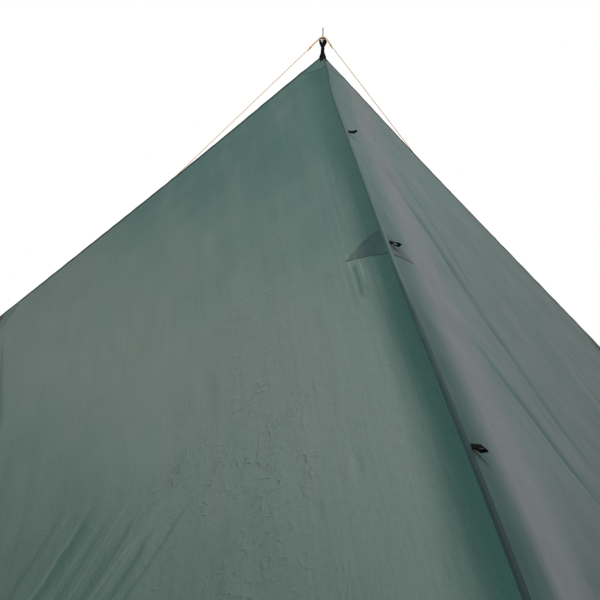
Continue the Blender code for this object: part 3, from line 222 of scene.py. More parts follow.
RIGHT_CREASES = (
    (((0.11, 0.62), (0.20, 0.87), (0.31, 1.12), (0.43, 1.35), (0.64, 1.60)), 0.012, -0.0026),
    (((0.24, 0.55), (0.32, 0.76), (0.38, 0.92)), 0.010, -0.0016),
    (((0.21, 1.60), (0.31, 1.73), (0.43, 1.87), (0.62, 2.02)), 0.012, -0.0030),
    (((0.30, 1.66), (0.41, 1.73), (0.55, 1.79), (0.72, 1.90)), 0.010, -0.0020),
    (((0.19, 1.52), (0.29, 1.68), (0.44, 1.82)), 0.007, -0.0010),
    (((0.118, 1.90), (0.126, 2.10), (0.130, 2.30)), 0.005, -0.0012),
)


def crease_height(path, half_width, height, a, b):
    """A wrinkle along a path, which rises and dies away towards its ends."""
    lengths = [hypot(q[0] - p[0], q[1] - p[1]) for p, q in zip(path, path[1:])]
    nearest = np.full(np.shape(a), np.inf)
    place = np.zeros(np.shape(a))
    run = 0.0
    for (a0, b0), (a1, b1), length in zip(path, path[1:], lengths):
        t = np.clip(((a - a0) * (a1 - a0) + (b - b0) * (b1 - b0)) / length**2, 0.0, 1.0)
        off = np.hypot(a - a0 - (a1 - a0) * t, b - b0 - (b1 - b0) * t)
        nearer = off < nearest
        nearest = np.where(nearer, off, nearest)
        place = np.where(nearer, (run + t * length) / sum(lengths), place)
        run += length
    ends = np.clip(np.minimum(place, 1 - place) * 4, 0.0, 1.0)
    return height * np.exp(-((nearest / half_width) ** 2)) * ends * ends * (3 - 2 * ends)


def waves(a, b, seed, count, shortest, longest, direction=0.0, spread=pi):
    """Soft crumples: a sum of plane waves with heights in proportion to their lengths, rms near 1."""
    chance = np.random.RandomState(seed)
    total = np.zeros(np.shape(a))
    power = 0.0
    for _ in range(count):
        length = shortest * (longest / shortest) ** chance.uniform()
        angle = direction + spread * (chance.uniform() - 0.5)
        phase = chance.uniform() * 2 * pi
        total = total + length * np.sin(2 * pi * (a * cos(angle) + b * sin(angle)) / length + phase)
        power += length * length / 2
    return total / power**0.5


def fan(a, b, middle, count, reach, height, turn):
    """Tension folds that radiate from a tied point."""
    angle = np.arctan2(b - middle[1], a - middle[0])
    far = np.hypot(a - middle[0], b - middle[1]) / reach
    ray = np.cos(count * angle + turn) + 0.5 * np.cos(1.7 * count * angle + 2.3 * turn)
    return height * ray * far * np.exp(1 - far * 2.2)


# The seeds that choose the cloth's waves, their heights, how fast they die away from the seam and the
# hems, and how far inside an edge the others are in full
CRUMPLE_SEEDS = {LEFT: 11, RIGHT: 23}
SWELL_HEIGHT = 0.0010
CRUMPLE_HEIGHT = 0.00016
LEFT_WRINKLE_HEIGHT = 0.00045
RIGHT_WRINKLE_HEIGHT = 0.0008
SEAM_PUCKER_HEIGHT = 0.00050
HEM_RIPPLE_HEIGHT = 0.00025
SEAM_PUCKER_FADE = 0.085
FRONT_RIPPLE_FADE = 0.030
EDGE_RIPPLE_FADE = 0.035
CALM_EDGE = 0.20
# Families of waves: how many, the shortest and the longest, then their direction and its spread
PATCHY = (10, 0.35, 0.9)
SWELLS = (26, 0.14, 0.50)
CRUMPLES = (30, 0.035, 0.085)
LEFT_WRINKLES = (16, 0.05, 0.15, 0.10, 0.35)
RIGHT_WRINKLES = (18, 0.035, 0.16, 0.0, 0.02)
SEAM_PUCKERS = (14, 0.012, 0.034, 0.0, 0.12)
FRONT_RIPPLES = (10, 0.04, 0.10, 0.0, 0.25)
REAR_RIPPLES = (12, 0.035, 0.09, 0.0, 0.25)
SIDE_RIPPLES = (12, 0.035, 0.09, pi / 2, 0.25)
# The right panel's long folds fan out from a point that lies this far before the apex
RAY_SOURCE = 0.10
# The four tied points of a panel: place, and its folds' count, reach, height and turn
TIE_OFFSET = 0.02
TIED_POINTS = (
    ((0.0, -TIE_OFFSET), 7, 0.60, 0.0006, 0.6),
    ((PANEL_WIDTH + TIE_OFFSET, -TIE_OFFSET), 9, 0.55, 0.0010, 1.1),
    ((PANEL_WIDTH + TIE_OFFSET, TARP_LENGTH + TIE_OFFSET), 11, 0.42, 0.0018, 0.2),
    ((0.0, TARP_LENGTH + TIE_OFFSET), 9, 0.40, 0.0012, 2.0),
)


def drawn_wrinkles(side, a, b, seed):
    """Long wrinkles, along the ridge on the left and fanned out from the apex on the right."""
    if side == LEFT:
        return LEFT_WRINKLE_HEIGHT * waves(a, b, seed, *LEFT_WRINKLES)
    angle = np.arctan2(a, b + RAY_SOURCE)
    rays = waves(angle, np.zeros_like(angle), seed, *RIGHT_WRINKLES)
    return RIGHT_WRINKLE_HEIGHT * rays * np.clip(b, 0, 1.2)


def seam_puckers(a, b, seed):
    """Wrinkles that the taut seam draws beside itself."""
    beside = np.exp(-a / SEAM_PUCKER_FADE) * smooth_step(a, SEAM_RIGHT_WIDTH, 0.030)
    beside = beside * smooth_step(b, 0.15, 0.6)
    return beside * SEAM_PUCKER_HEIGHT * waves(a, b * 0.25, seed, *SEAM_PUCKERS)


def hem_ripples(a, b, seed):
    """Slight ripples of the front, rear and side hems."""
    front = np.exp(-b / FRONT_RIPPLE_FADE) * waves(a, b, seed, *FRONT_RIPPLES)
    rear = np.exp(-(TARP_LENGTH - b) / EDGE_RIPPLE_FADE) * waves(a, b, seed + 1, *REAR_RIPPLES)
    edge = np.exp(-(PANEL_WIDTH - a) / EDGE_RIPPLE_FADE) * waves(a, b, seed + 2, *SIDE_RIPPLES)
    return HEM_RIPPLE_HEIGHT * (front + rear + edge)


def patch_puckers(a, b):
    """A pucker round the centre patch's tip, and a dent beyond it."""
    tip = np.hypot(a - 0.105, (b - CENTRE_PATCH_PLACE + 0.01) * 0.8)
    dent = np.hypot(a - 0.150, b - CENTRE_PATCH_PLACE)
    return 0.0020 * np.exp(-((tip / 0.028) ** 2)) - 0.0012 * np.exp(-((dent / 0.030) ** 2))


def fine_height(side, a, b):
    """What the hung cloth has beyond the solids' relief: creases, puckers and soft crumples."""
    seed = CRUMPLE_SEEDS[side]
    creases = LEFT_CREASES if side == LEFT else RIGHT_CREASES
    inside = smooth_step(a, 0.05, CALM_EDGE) * smooth_step(PANEL_WIDTH - a, 0.04, CALM_EDGE)
    inside = inside * smooth_step(b, 0.04, CALM_EDGE) * smooth_step(TARP_LENGTH - b, 0.04, CALM_EDGE)
    patchy = 0.5 + 0.5 * np.tanh(waves(a, b, seed + 1, *PATCHY))
    total = sum(crease_height(*crease, a, b) for crease in creases)
    total = total + inside * SWELL_HEIGHT * waves(a, b, seed, *SWELLS)
    total = total + inside * patchy * CRUMPLE_HEIGHT * waves(a, b, seed + 2, *CRUMPLES)
    total = total + inside * (0.4 + patchy) * drawn_wrinkles(side, a, b, seed + 3)
    total = total + seam_puckers(a, b, seed + 4) + hem_ripples(a, b, seed + 5)
    for *point, turn in TIED_POINTS:
        total = total + fan(a, b, *point, turn + side)
    return total + patch_puckers(a, b)


def side_edge(b):
    """How far the hollow side edge lies from the ridge."""
    return PANEL_WIDTH - SIDE_HOLLOW * np.sin(pi * b / TARP_LENGTH)


def rear_edge(a):
    """How far the hollow rear edge lies from the front."""
    return TARP_LENGTH - REAR_HOLLOW * np.sin(pi * a / PANEL_WIDTH)


def ridge_bow(b):
    """How far the taut ridge seam is drawn towards the left panel."""
    return RIDGE_BOW * smooth_step(b, *BOW_RISE) * (1 - smooth_step(b, *BOW_FALL))


def on_cloth(side, a, b, lift=0.0):
    """World places on the dressed cloth, as an array with a last axis of 3."""
    a, b, lift = np.broadcast_arrays(np.asarray(a, float), np.asarray(b, float), np.asarray(lift, float))
    height = hung_height(side, a, b) + fine_height(side, a, b) + lift
    bow = ridge_bow(b) * (1 - smooth_step(a, FLAT_AT_RIDGE, BOW_FADE))
    raised = APEX_LIFT * np.exp(-(a * a + b * b) / APEX_LIFT_REACH**2)
    place = np.array(APEX)
    for size, way in (
        (b, RIDGE),
        (a, across(side)),
        (raised, (0.0, 0.0, 1.0)),
        (height, outward(side)),
        (-bow, (1.0, 0.0, 0.0)),
    ):
        place = place + size[..., None] * np.array(way)
    return place


# Materials

STRIP_UV = "strip"
CLOTH_SHINE = 0.02
RIPSTOP_PITCH = 0.0055
RIPSTOP_THREAD = 0.0006


class Value:
    """A socket of a node tree, with the usual arithmetic."""

    def __init__(self, nodes, socket):
        self.nodes = nodes
        self.socket = socket

    def __add__(self, other):
        return self.nodes.math("ADD", self, other)

    def __sub__(self, other):
        return self.nodes.math("SUBTRACT", self, other)

    def __rsub__(self, other):
        return self.nodes.math("SUBTRACT", other, self)

    def __mul__(self, other):
        return self.nodes.math("MULTIPLY", self, other)

    def __truediv__(self, other):
        return self.nodes.math("DIVIDE", self, other)

    def __abs__(self):
        return self.nodes.math("ABSOLUTE", self)


class Nodes:
    """Short names for building one material's node tree."""

    def __init__(self, name):
        self.material = bpy.data.materials.new(name)
        self.material.use_nodes = True
        self.tree = self.material.node_tree
        self.shader = self.tree.nodes["Principled BSDF"]
        self.object = self.make("ShaderNodeTexCoord", "Object", {})

    def link(self, source, target):
        """Wire a socket to a target, or give the target a number, a direction or a colour."""
        if isinstance(source, (int, float)):
            target.default_value = source
        elif isinstance(source, tuple):
            target.default_value = (*source, 1.0) if target.type == "RGBA" else source
        else:
            self.tree.links.new(source.socket, target)

    def add(self, kind, sources, **settings):
        node = self.tree.nodes.new(kind)
        for key, value in settings.items():
            setattr(node, key, value)
        for key, source in sources.items():
            self.link(source, node.inputs[key])
        return node

    def make(self, kind, output, sources, **settings):
        """One output of a new node, whose inputs take their sources by name or number."""
        return Value(self, self.add(kind, sources, **settings).outputs[output])

    def math(self, operation, first, second=0.0):
        return self.make("ShaderNodeMath", 0, {0: first, 1: second}, operation=operation)

    def greater(self, first, second):
        return self.math("MAXIMUM", first, second)

    def length(self, x, y):
        """How long a flat vector is."""
        return self.math("SQRT", x * x + y * y)

    def dot(self, vector, direction):
        sources = {0: vector, 1: tuple(direction)}
        return self.make("ShaderNodeVectorMath", "Value", sources, operation="DOT_PRODUCT")

    def vector(self, x, y, z=0.0):
        return self.make("ShaderNodeCombineXYZ", 0, {0: x, 1: y, 2: z})

    def parts(self, vector):
        """A vector's x, y and z."""
        return tuple(Value(self, part) for part in self.add("ShaderNodeSeparateXYZ", {0: vector}).outputs)

    def strip(self):
        """A sewn strip's own coordinates: how far along it, and how far round its section."""
        along, around, _ = self.parts(self.make("ShaderNodeUVMap", "UV", {}, uv_map=STRIP_UV))
        return along, around

    def noise(self, vector, scale, detail=3.0, roughness=0.55):
        sources = {"Vector": vector, "Scale": scale, "Detail": detail, "Roughness": roughness}
        return self.make("ShaderNodeTexNoise", "Fac", sources)

    def streaks(self, x, y, x_scale, y_scale, detail=3.0, roughness=0.55):
        """Noise that is drawn out, by a scale of its own each way."""
        return self.noise(self.vector(x * x_scale, y * y_scale), 1.0, detail, roughness)

    def cells(self, vector, scale):
        """Distance to the nearest edge of a net of irregular cells."""
        sources = {"Vector": vector, "Scale": scale}
        return self.make("ShaderNodeTexVoronoi", "Distance", sources, feature="DISTANCE_TO_EDGE")

    def ramp(self, value, low, high, first=0.0, last=1.0):
        """A soft step from first to last, as the value goes from low to high."""
        sources = {"Value": value, "From Min": low, "From Max": high, "To Min": first, "To Max": last}
        return self.make("ShaderNodeMapRange", "Result", sources, interpolation_type="SMOOTHSTEP")

    def fall(self, value, low, high, first=1.0):
        """A soft step from first down to nothing."""
        return self.ramp(value, low, high, first, 0.0)

    def mix(self, share, first, second):
        return self.make("ShaderNodeMix", 2, {0: share, 6: first, 7: second}, data_type="RGBA")

    def bump(self, height, distance, strength=1.0, below=None):
        sources = {"Height": height, "Distance": distance, "Strength": strength}
        if below is not None:
            sources["Normal"] = below
        return self.make("ShaderNodeBump", "Normal", sources)

    def finish(self, colour, roughness, normal=None, shine=0.5, metallic=0.0):
        sources = {"Base Color": colour, "Roughness": roughness, "Metallic": metallic}
        sources["Specular IOR Level"] = shine
        if normal is not None:
            sources["Normal"] = normal
        for key, source in sources.items():
            self.link(source, self.shader.inputs[key])
        return self.material


def flat_coordinates(n, side):
    """A panel's own across and along distances, from object coordinates."""
    return tuple(n.dot(n.object, way) - APEX.dot(way) for way in (across(side), RIDGE))


def shade(tone, share, lift=0.0):
    """A darker or paler colour of the same kind."""
    return tuple(part * share + lift for part in tone)


def grid_lines(n, value, pitch, width):
    """Height of thick threads that repeat each pitch."""
    return n.fall(abs(n.math("FRACT", value / pitch) - 0.5), 0.0, width / pitch)


def ripstop(n, first, second):
    """The net of thick threads that stops a tear, along two ways of the cloth."""
    one = grid_lines(n, first, RIPSTOP_PITCH, RIPSTOP_THREAD)
    return n.greater(one, grid_lines(n, second, RIPSTOP_PITCH, RIPSTOP_THREAD))


# Folds painted as stripes of shade and highlight: tone, then along = c0 + c1 across + c2 across squared
# between two across distances, half width and share
# The first two tones are painted shade in the folds, the third painted highlight along them
TEAL_FOLD_SHADE = (0.078, 0.132, 0.122)
DEEP_PAINTED_SHADE = (0.046, 0.092, 0.078)
PALE_PAINTED_HIGHLIGHT = (0.185, 0.225, 0.202)
RIGHT_FOLD_SHADING = (
    (TEAL_FOLD_SHADE, (0.266, 3.418, -2.085), (0.03, 0.74), 0.044, 0.80),
    (DEEP_PAINTED_SHADE, (0.272, 3.418, -2.085), (0.10, 0.60), 0.014, 0.35),
    (TEAL_FOLD_SHADE, (0.200, 3.418, -2.085), (0.07, 0.50), 0.010, 0.60),
    (TEAL_FOLD_SHADE, (-0.140, 3.299, 0.0), (0.19, 0.42), 0.012, 0.65),
    (TEAL_FOLD_SHADE, (1.393, 1.097, 0.0), (0.14, 0.80), 0.034, 0.80),
    (DEEP_PAINTED_SHADE, (1.398, 1.097, 0.0), (0.26, 0.70), 0.012, 0.35),
    (TEAL_FOLD_SHADE, (1.450, 1.120, 0.0), (0.22, 0.80), 0.007, 0.50),
    (TEAL_FOLD_SHADE, (1.389, 0.712, 0.0), (0.24, 0.88), 0.010, 0.65),
    (TEAL_FOLD_SHADE, (1.449, 0.302, 0.0), (0.32, 0.95), 0.010, 0.55),
    (TEAL_FOLD_SHADE, (1.392, 0.038, 0.0), (0.42, 1.05), 0.010, 0.50),
)
LEFT_FOLD_SHADING = (
    (DEEP_PAINTED_SHADE, (0.380, 1.620, 0.0), (0.76, 1.06), 0.026, 0.65),
    (DEEP_PAINTED_SHADE, (0.930, 1.290, 0.0), (0.64, 0.90), 0.022, 0.45),
    (DEEP_PAINTED_SHADE, (1.176, 1.200, 0.0), (0.58, 0.82), 0.016, 0.55),
    (DEEP_PAINTED_SHADE, (0.060, 1.730, 0.0), (0.86, 1.10), 0.018, 0.45),
    (DEEP_PAINTED_SHADE, (6.530, -4.720, 0.0), (1.17, 1.34), 0.012, 0.50),
    (DEEP_PAINTED_SHADE, (0.560, 1.560, 0.0), (0.72, 0.98), 0.012, 0.45),
    (DEEP_PAINTED_SHADE, (0.760, 1.480, 0.0), (0.70, 0.92), 0.010, 0.40),
    (DEEP_PAINTED_SHADE, (1.330, 1.080, 0.0), (0.50, 0.74), 0.010, 0.40),
    (PALE_PAINTED_HIGHLIGHT, (0.257, 1.730, 0.0), (0.78, 1.04), 0.0080, 0.42),
    (PALE_PAINTED_HIGHLIGHT, (0.130, 1.730, 0.0), (0.81, 1.06), 0.0060, 0.34),
    (PALE_PAINTED_HIGHLIGHT, (1.280, 0.920, 0.0), (0.62, 0.86), 0.0070, 0.38),
    (PALE_PAINTED_HIGHLIGHT, (0.675, 1.500, 0.0), (0.66, 0.94), 0.0110, 0.32),
    (PALE_PAINTED_HIGHLIGHT, (0.870, 1.400, 0.0), (0.60, 0.88), 0.0080, 0.30),
    (PALE_PAINTED_HIGHLIGHT, (1.080, 1.260, 0.0), (0.56, 0.84), 0.0070, 0.30),
    (PALE_PAINTED_HIGHLIGHT, (0.480, 1.600, 0.0), (0.74, 0.98), 0.0050, 0.30),
)
# Each end of a stripe fades over this share of its length
STRIPE_FADE = 0.25
# Short lines of painted highlight and shade below the centre patch's tip: tone, across, from and to along,
# half width, share
TIP_SHADING_LINES = (
    (PALE_PAINTED_HIGHLIGHT, 0.0955, (1.450, 1.550), 0.0034, 0.75),
    (DEEP_PAINTED_SHADE, 0.0860, (1.510, 1.690), 0.0085, 0.70),
    (PALE_PAINTED_HIGHLIGHT, 0.0730, (1.500, 1.650), 0.0034, 0.70),
)
TIP_LINE_START_FADE = 0.03
TIP_LINE_END_FADE = 0.05
# Crumpled places of the left panel: across, along and reach
CRUMPLED_PLACES = (
    (0.36, 1.93, 0.16),
    (0.31, 2.06, 0.14),
    (0.37, 1.73, 0.10),
    (0.47, 1.88, 0.14),
    (0.56, 1.76, 0.12),
    (0.40, 2.20, 0.16),
    (0.26, 1.86, 0.08),
)
# The two panels' tones, which carry painted light and shade, and where the dark belt of painted shade
# beside
# the ridge fades: across from full to none, and along with its share at either end; then how deep the fine
# relief is, and where the folds' painted stripes lie
LOOKS = {
    LEFT: {
        "top": (0.074, 0.136, 0.120),
        "middle": (0.140, 0.188, 0.166),
        "low": (0.083, 0.132, 0.114),
        "belt": (0.032, 0.078, 0.068),
        "belt across": (0.016, 0.100),
        "belt along": (0.10, 1.80, 0.62, 1.0),
        "band": (0.152, 0.186, 0.168),
        "band share": 0.25,
        "crumple depth": 0.0014,
        "cockle depth": 0.0030,
        "stripes": LEFT_FOLD_SHADING,
        "crumpled": CRUMPLED_PLACES,
    },
    RIGHT: {
        "top": (0.134, 0.192, 0.180),
        "middle": (0.138, 0.180, 0.170),
        "low": (0.088, 0.114, 0.110),
        "belt": (0.044, 0.088, 0.079),
        "belt across": (0.025, 0.125),
        "belt along": (0.80, 2.35, 0.25, 1.0),
        "band": (0.184, 0.200, 0.200),
        "band share": 0.10,
        "crumple depth": 0.0004,
        "cockle depth": 0.0014,
        "stripes": RIGHT_FOLD_SHADING,
        "crumpled": (),
    },
}
# Heights between which the middle tone turns to the top one, and to the low one: a painted drift of light
# and shade with height
TOP_SHADING_HEIGHTS = (1.30, 1.92)
LOW_SHADING_HEIGHTS = (1.28, 0.86)
THREAD_SHARE = 0.14
SLUB_SHARE = 0.08
BASE_BRIGHTNESS = 0.89
RIB_PITCH = 0.0046
RIB_SHARE = 0.045
# How far the borders between tones and of the painted shade belt wander, in height and across
TONE_WANDER = 0.35
SHADE_BELT_WANDER = 0.045
# Where painted shade deepens each panel's tones: across, along and share
LEFT_PAINTED_SHADE = ((0.70, 1.05), (1.40, 1.85), 0.42)
RIGHT_PAINTED_SHADE = ((2.12, 2.50), 0.36)
# The paler band of painted sheen beside the right belt: where it comes and goes across, and its share
RIGHT_SHEEN_BAND = ((0.07, 0.12), (0.26, 0.17), 0.75)


def fold_shading_share(n, a, b, curve, reach, half_width, share):
    """Where a fold's painted stripe of shade and highlight runs: full on its line, gone at its ends."""
    c0, c1, c2 = curve
    line = (a * c2 + c1) * a + c0
    slope = a * 2 * c2 + c1
    on = n.fall(abs(b - line) / n.length(slope, 1.0), 0.0, half_width)
    low, high = reach
    fade = (high - low) * STRIPE_FADE
    return on * n.ramp(a, low, low + fade) * n.fall(a, high - fade, high) * share


def tip_shading_share(n, a, b, place, reach, half_width, share):
    """Where a short line of painted highlight and shade runs along the panel."""
    start, end = reach
    on = n.fall(abs(a - place), 0.0, half_width, share)
    begun = n.ramp(b, start, start + TIP_LINE_START_FADE)
    return on * begun * n.fall(b, end - TIP_LINE_END_FADE, end)


def cloth_tone_and_painted_light(n, side, a, b):
    """The panel's colour, with painted light and shade: a drift from top to bottom, bands of painted sheen,
    painted stripes along the folds, and the belt of painted shade by the ridge.
    """
    look = LOOKS[side]
    height = n.parts(n.object)[2]
    uneven = (n.noise(n.vector(a, b), 2.2, 2.0) - 0.5) * TONE_WANDER
    # Painted light and shade: the tone drifts with height from the middle tone to the top and low ones
    colour = n.mix(n.ramp(height + uneven, *TOP_SHADING_HEIGHTS), look["middle"], look["top"])
    lowered = height + uneven * 0.5
    colour = n.mix(n.ramp(lowered, *LOW_SHADING_HEIGHTS), colour, look["low"])
    # Painted sheen in long streaks along the cloth's draw direction, seen as bands of greyer and greener
    # tone
    if side == LEFT:
        sheen_streak = n.streaks(a, b, 9.0, 0.9, 4.0, 0.62)
    else:
        sheen_streak = n.streaks(n.math("ARCTAN2", a, b + RAY_SOURCE), b, 16.0, 0.35, 4.0, 0.62)
    colour = n.mix(n.ramp(sheen_streak, 0.46, 0.62) * look["band share"], colour, look["band"])
    # Painted shade and highlight along the folds
    for tone, *stripe in look["stripes"]:
        colour = n.mix(fold_shading_share(n, a, b, *stripe), colour, tone)
    # Painted shade deepens the tones towards the side corner on the left and down the ridge on the right
    if side == LEFT:
        wide, far, share = LEFT_PAINTED_SHADE
        colour = n.mix(n.ramp(a, *wide) * n.ramp(b, *far, 0.0, share), colour, DEEP_PAINTED_SHADE)
    else:
        far, share = RIGHT_PAINTED_SHADE
        colour = n.mix(n.ramp(b, *far, 0.0, share), colour, DEEP_PAINTED_SHADE)
        # Painted sheen: a paler band beside the right belt
        coming, going, share = RIGHT_SHEEN_BAND
        colour = n.mix(n.ramp(a, *coming) * n.ramp(a, *going) * share, colour, look["band"])
    # Painted shade: the dark belt beside the ridge, with a wandering edge
    wander = (n.streaks(a, b, 20.0, 2.0) - 0.5) * SHADE_BELT_WANDER
    belt = n.fall(a + wander, *look["belt across"]) * n.ramp(b, *look["belt along"])
    colour = n.mix(belt, colour, look["belt"])
    if side == LEFT:
        # Painted highlight and shade of the streaks below the centre patch's tip
        for tone, *line in TIP_SHADING_LINES:
            colour = n.mix(tip_shading_share(n, a, b, *line), colour, tone)
    return colour


# The net of crumple lines: cells in a metre, width of its lines as a share of a cell, and share of height
CRUMPLE_NETS = ((26.0, 0.11, 1.0), (58.0, 0.16, 0.45))
NET_BEND = 0.035
CRUMPLE_CORE = 0.35


def cloth_folds(n, side, a, b):
    """The cloth's fine relief: sharp crumple lines in scattered patches, and a faint cockle all over."""
    look = LOOKS[side]
    bent_a = a + n.noise(n.vector(a, b), 9.0) * NET_BEND
    bent_b = b + n.noise(n.vector(b, a), 9.0) * NET_BEND
    bent = n.vector(bent_a, bent_b)
    coarse, fine = (n.fall(n.cells(bent, cells), 0.0, width, share) for cells, width, share in CRUMPLE_NETS)
    patch = n.ramp(n.noise(n.vector(a, b, 3.0 + side), 4.6, 2.0), 0.44, 0.60) * 0.55
    for a0, b0, reach in look["crumpled"]:
        far = n.length(a - a0, b - b0)
        patch = n.greater(patch, n.fall(far, reach * CRUMPLE_CORE, reach))
    spots = n.ramp(n.noise(n.vector(a, b, 9.0 + side), 26.0, 2.0), 0.42, 0.58)
    away = n.ramp(a, 0.14, 0.26) * n.ramp(b, 0.5, 1.4)
    folded = n.bump((coarse + fine) * patch * spots * away, look["crumple depth"])
    cockle = n.noise(n.vector(a * 1.6, b, 5.0 + side), 42.0, 4.0, 0.62)
    return n.bump(cockle * n.ramp(b, 0.6, 1.9, 0.25, 1.0), look["cockle depth"], below=folded)


def cloth_material(name, side):
    """Coated cloth: its tones with painted light and shade, fine thread lines along the ridge, thicker
    threads, and folds.
    """
    n = Nodes(name)
    a, b = flat_coordinates(n, side)
    thread = n.streaks(a, b, 170.0, 1.5, 1.0, 0.5)
    slub = n.streaks(a, b, 620.0, 9.0, 2.0, 0.6)
    value = thread * THREAD_SHARE + slub * SLUB_SHARE
    if side == LEFT:
        rib = n.math("SINE", a * (2 * pi / RIB_PITCH))
        ribbed = n.ramp(a, 0.40, 0.06) * n.ramp(b, 1.1, 1.8) * RIB_SHARE
        value = value + rib * ribbed
    sources = {"Color": cloth_tone_and_painted_light(n, side, a, b), "Value": value + BASE_BRIGHTNESS}
    colour = n.make("ShaderNodeHueSaturation", 0, sources)
    height = thread * 0.6 + ripstop(n, a, b) * 0.25 + slub * 0.3
    rough = n.ramp(n.noise(n.vector(a, b), 7.0, 2.0), 0.3, 0.7, 0.56, 0.66)
    normal = n.bump(height, 0.00022, 0.5, cloth_folds(n, side, a, b))
    return n.finish(colour, rough, normal, CLOTH_SHINE)


STITCH_PITCH = 0.0035
STITCH_ROW = 0.0075
STITCH_HALF_WIDTH = (0.00025, 0.0006)


def hem_material(name, base):
    """Doubled cloth with a row of stitches near its inner edge."""
    n = Nodes(name)
    u, v = n.strip()
    dash = n.fall(abs(n.math("FRACT", u / STITCH_PITCH) - 0.5), 0.28, 0.36)
    stitch = dash * n.fall(abs(v - STITCH_ROW), *STITCH_HALF_WIDTH)
    blotch = n.noise(n.object, 24.0)
    colour = n.mix(n.ramp(blotch, 0.3, 0.7), shade(base, 0.8), base)
    colour = n.mix(stitch, colour, shade(base, 1.9, 0.01))
    height = stitch * 0.8 + n.streaks(u, v, 90.0, 30.0, 2.0)
    return n.finish(colour, 0.64, n.bump(height, 0.0006, 0.7), CLOTH_SHINE)


# The seam's tones: its left part in painted shade and right part in painted light up by the apex, painted
# shadow along its left edge, and slate lower down
SEAM_LEFT_SHADE_TONE = (0.040, 0.078, 0.076)
SEAM_RIGHT_LIT_TONE = (0.092, 0.150, 0.138)
SEAM_EDGE_SHADOW_TONE = (0.034, 0.070, 0.066)
SLATE_TONES = ((0.022, 0.046, 0.050), (0.032, 0.060, 0.062))
LOW_SLATE_TONE = (0.020, 0.038, 0.041)
SLATE_START = 1.56


def seam_material():
    """The seam takes the cloth's tones, painted light and shade with them, up by the apex and turns to dark
    slate lower down.
    """
    n = Nodes("seam_cloth")
    u, v = n.strip()
    # Painted shade on the seam's left part and painted light on its right part
    upper = n.mix(n.ramp(v, 0.0036, 0.0048), SEAM_LEFT_SHADE_TONE, SEAM_RIGHT_LIT_TONE)
    # Painted shadow along the seam's left edge
    upper = n.mix(n.fall(v, 0.0004, 0.0016, 0.55), upper, SEAM_EDGE_SHADOW_TONE)
    below_start = u - SLATE_START - v * 12.0
    slate = n.mix(n.ramp(n.streaks(u, v, 14.0, 90.0), 0.3, 0.7), *SLATE_TONES)
    slate = n.mix(n.ramp(u, 1.9, 2.5), slate, LOW_SLATE_TONE)
    colour = n.mix(n.ramp(below_start, -0.04, 0.16), upper, slate)
    height = n.streaks(u, v, 120.0, 60.0, 2.0)
    return n.finish(colour, 0.62, n.bump(height, 0.0005, 0.6), CLOTH_SHINE)


# A patch's two mottled tones, its tone at a thin tip and its tone beyond a corner's dark cloth; the ridge
# patches' tones and the tones beyond a corner copy the panel beside them, painted light and shade and all
PATCH_TONES = {
    LEFT: {
        "ridge": ((0.070, 0.128, 0.114), (0.074, 0.136, 0.121)),
        "centre": ((0.029, 0.056, 0.058), (0.036, 0.066, 0.068), (0.080, 0.110, 0.104)),
        "corner": ((0.060, 0.068, 0.066), (0.072, 0.080, 0.078), None, (0.108, 0.152, 0.138)),
    },
    RIGHT: {
        "ridge": ((0.112, 0.160, 0.150), (0.122, 0.170, 0.160)),
        "centre": ((0.074, 0.094, 0.096), (0.084, 0.104, 0.106), (0.094, 0.114, 0.112)),
        "corner": ((0.052, 0.062, 0.062), (0.062, 0.072, 0.072), None, (0.126, 0.160, 0.152)),
    },
}


def patch_material(name, side, base, other, tip=None, outer=None):
    """A patch's cloth, its threads turned; tip is its tone where it thins out, outer beyond a corner."""
    n = Nodes(name)
    a, b = flat_coordinates(n, side)
    blotch = n.noise(n.vector(a, b), 34.0)
    colour = n.mix(n.ramp(blotch, 0.3, 0.7), base, other)
    if tip is not None:
        colour = n.mix(n.ramp(a + blotch * 0.02, 0.050, 0.100), colour, tip)
    if outer is not None:
        from_end = n.math("MINIMUM", b, TARP_LENGTH - b)
        far = n.length(PANEL_WIDTH - HEM_WIDTH - a, from_end - HEM_WIDTH)
        colour = n.mix(n.ramp(far, CORNER_DARK_REACH - 0.003, CORNER_DARK_REACH), colour, outer)
    threads = ripstop(n, a + b, a - b)
    height = threads * 0.3 + n.noise(n.vector(a, b), 60.0, 2.0)
    return n.finish(colour, 0.62, n.bump(height, 0.0004, 0.6), CLOTH_SHINE)


def webbing_material(name, base):
    """Woven strap: a herringbone of yarns, with dust and painted highlight along its raised threads."""
    n = Nodes(name)
    x, y, z = n.parts(n.object)
    twill = x * 0.8 + z + y * 0.6
    cross = z + y * 0.5 - x * 0.9
    yarn = grid_lines(n, twill, 0.0011, 0.0005) * grid_lines(n, cross, 0.0013, 0.0006)
    dust_and_highlight = n.noise(n.object, 260.0)
    # Dust and painted highlight make the raised yarns paler
    colour = n.mix(yarn * n.ramp(dust_and_highlight, 0.35, 0.7), base, shade(base, 1.6, 0.002))
    height = yarn + dust_and_highlight * 0.4
    return n.finish(colour, 0.86, n.bump(height, 0.0005, 0.8), CLOTH_SHINE)


def cord_material():
    """Braided cord in amber with paler reflective flecks."""
    n = Nodes("guyline_braid")
    fine = n.noise(n.object, 900.0, 1.0)
    fleck = n.ramp(n.noise(n.object, 330.0, 2.0), 0.56, 0.62)
    colour = n.mix(n.ramp(fine, 0.3, 0.7), (0.88, 0.42, 0.020), (0.95, 0.55, 0.050))
    colour = n.mix(fleck * 0.7, colour, (0.92, 0.70, 0.26))
    return n.finish(colour, 0.78, n.bump(fine, 0.0004, 0.7), shine=0.15)


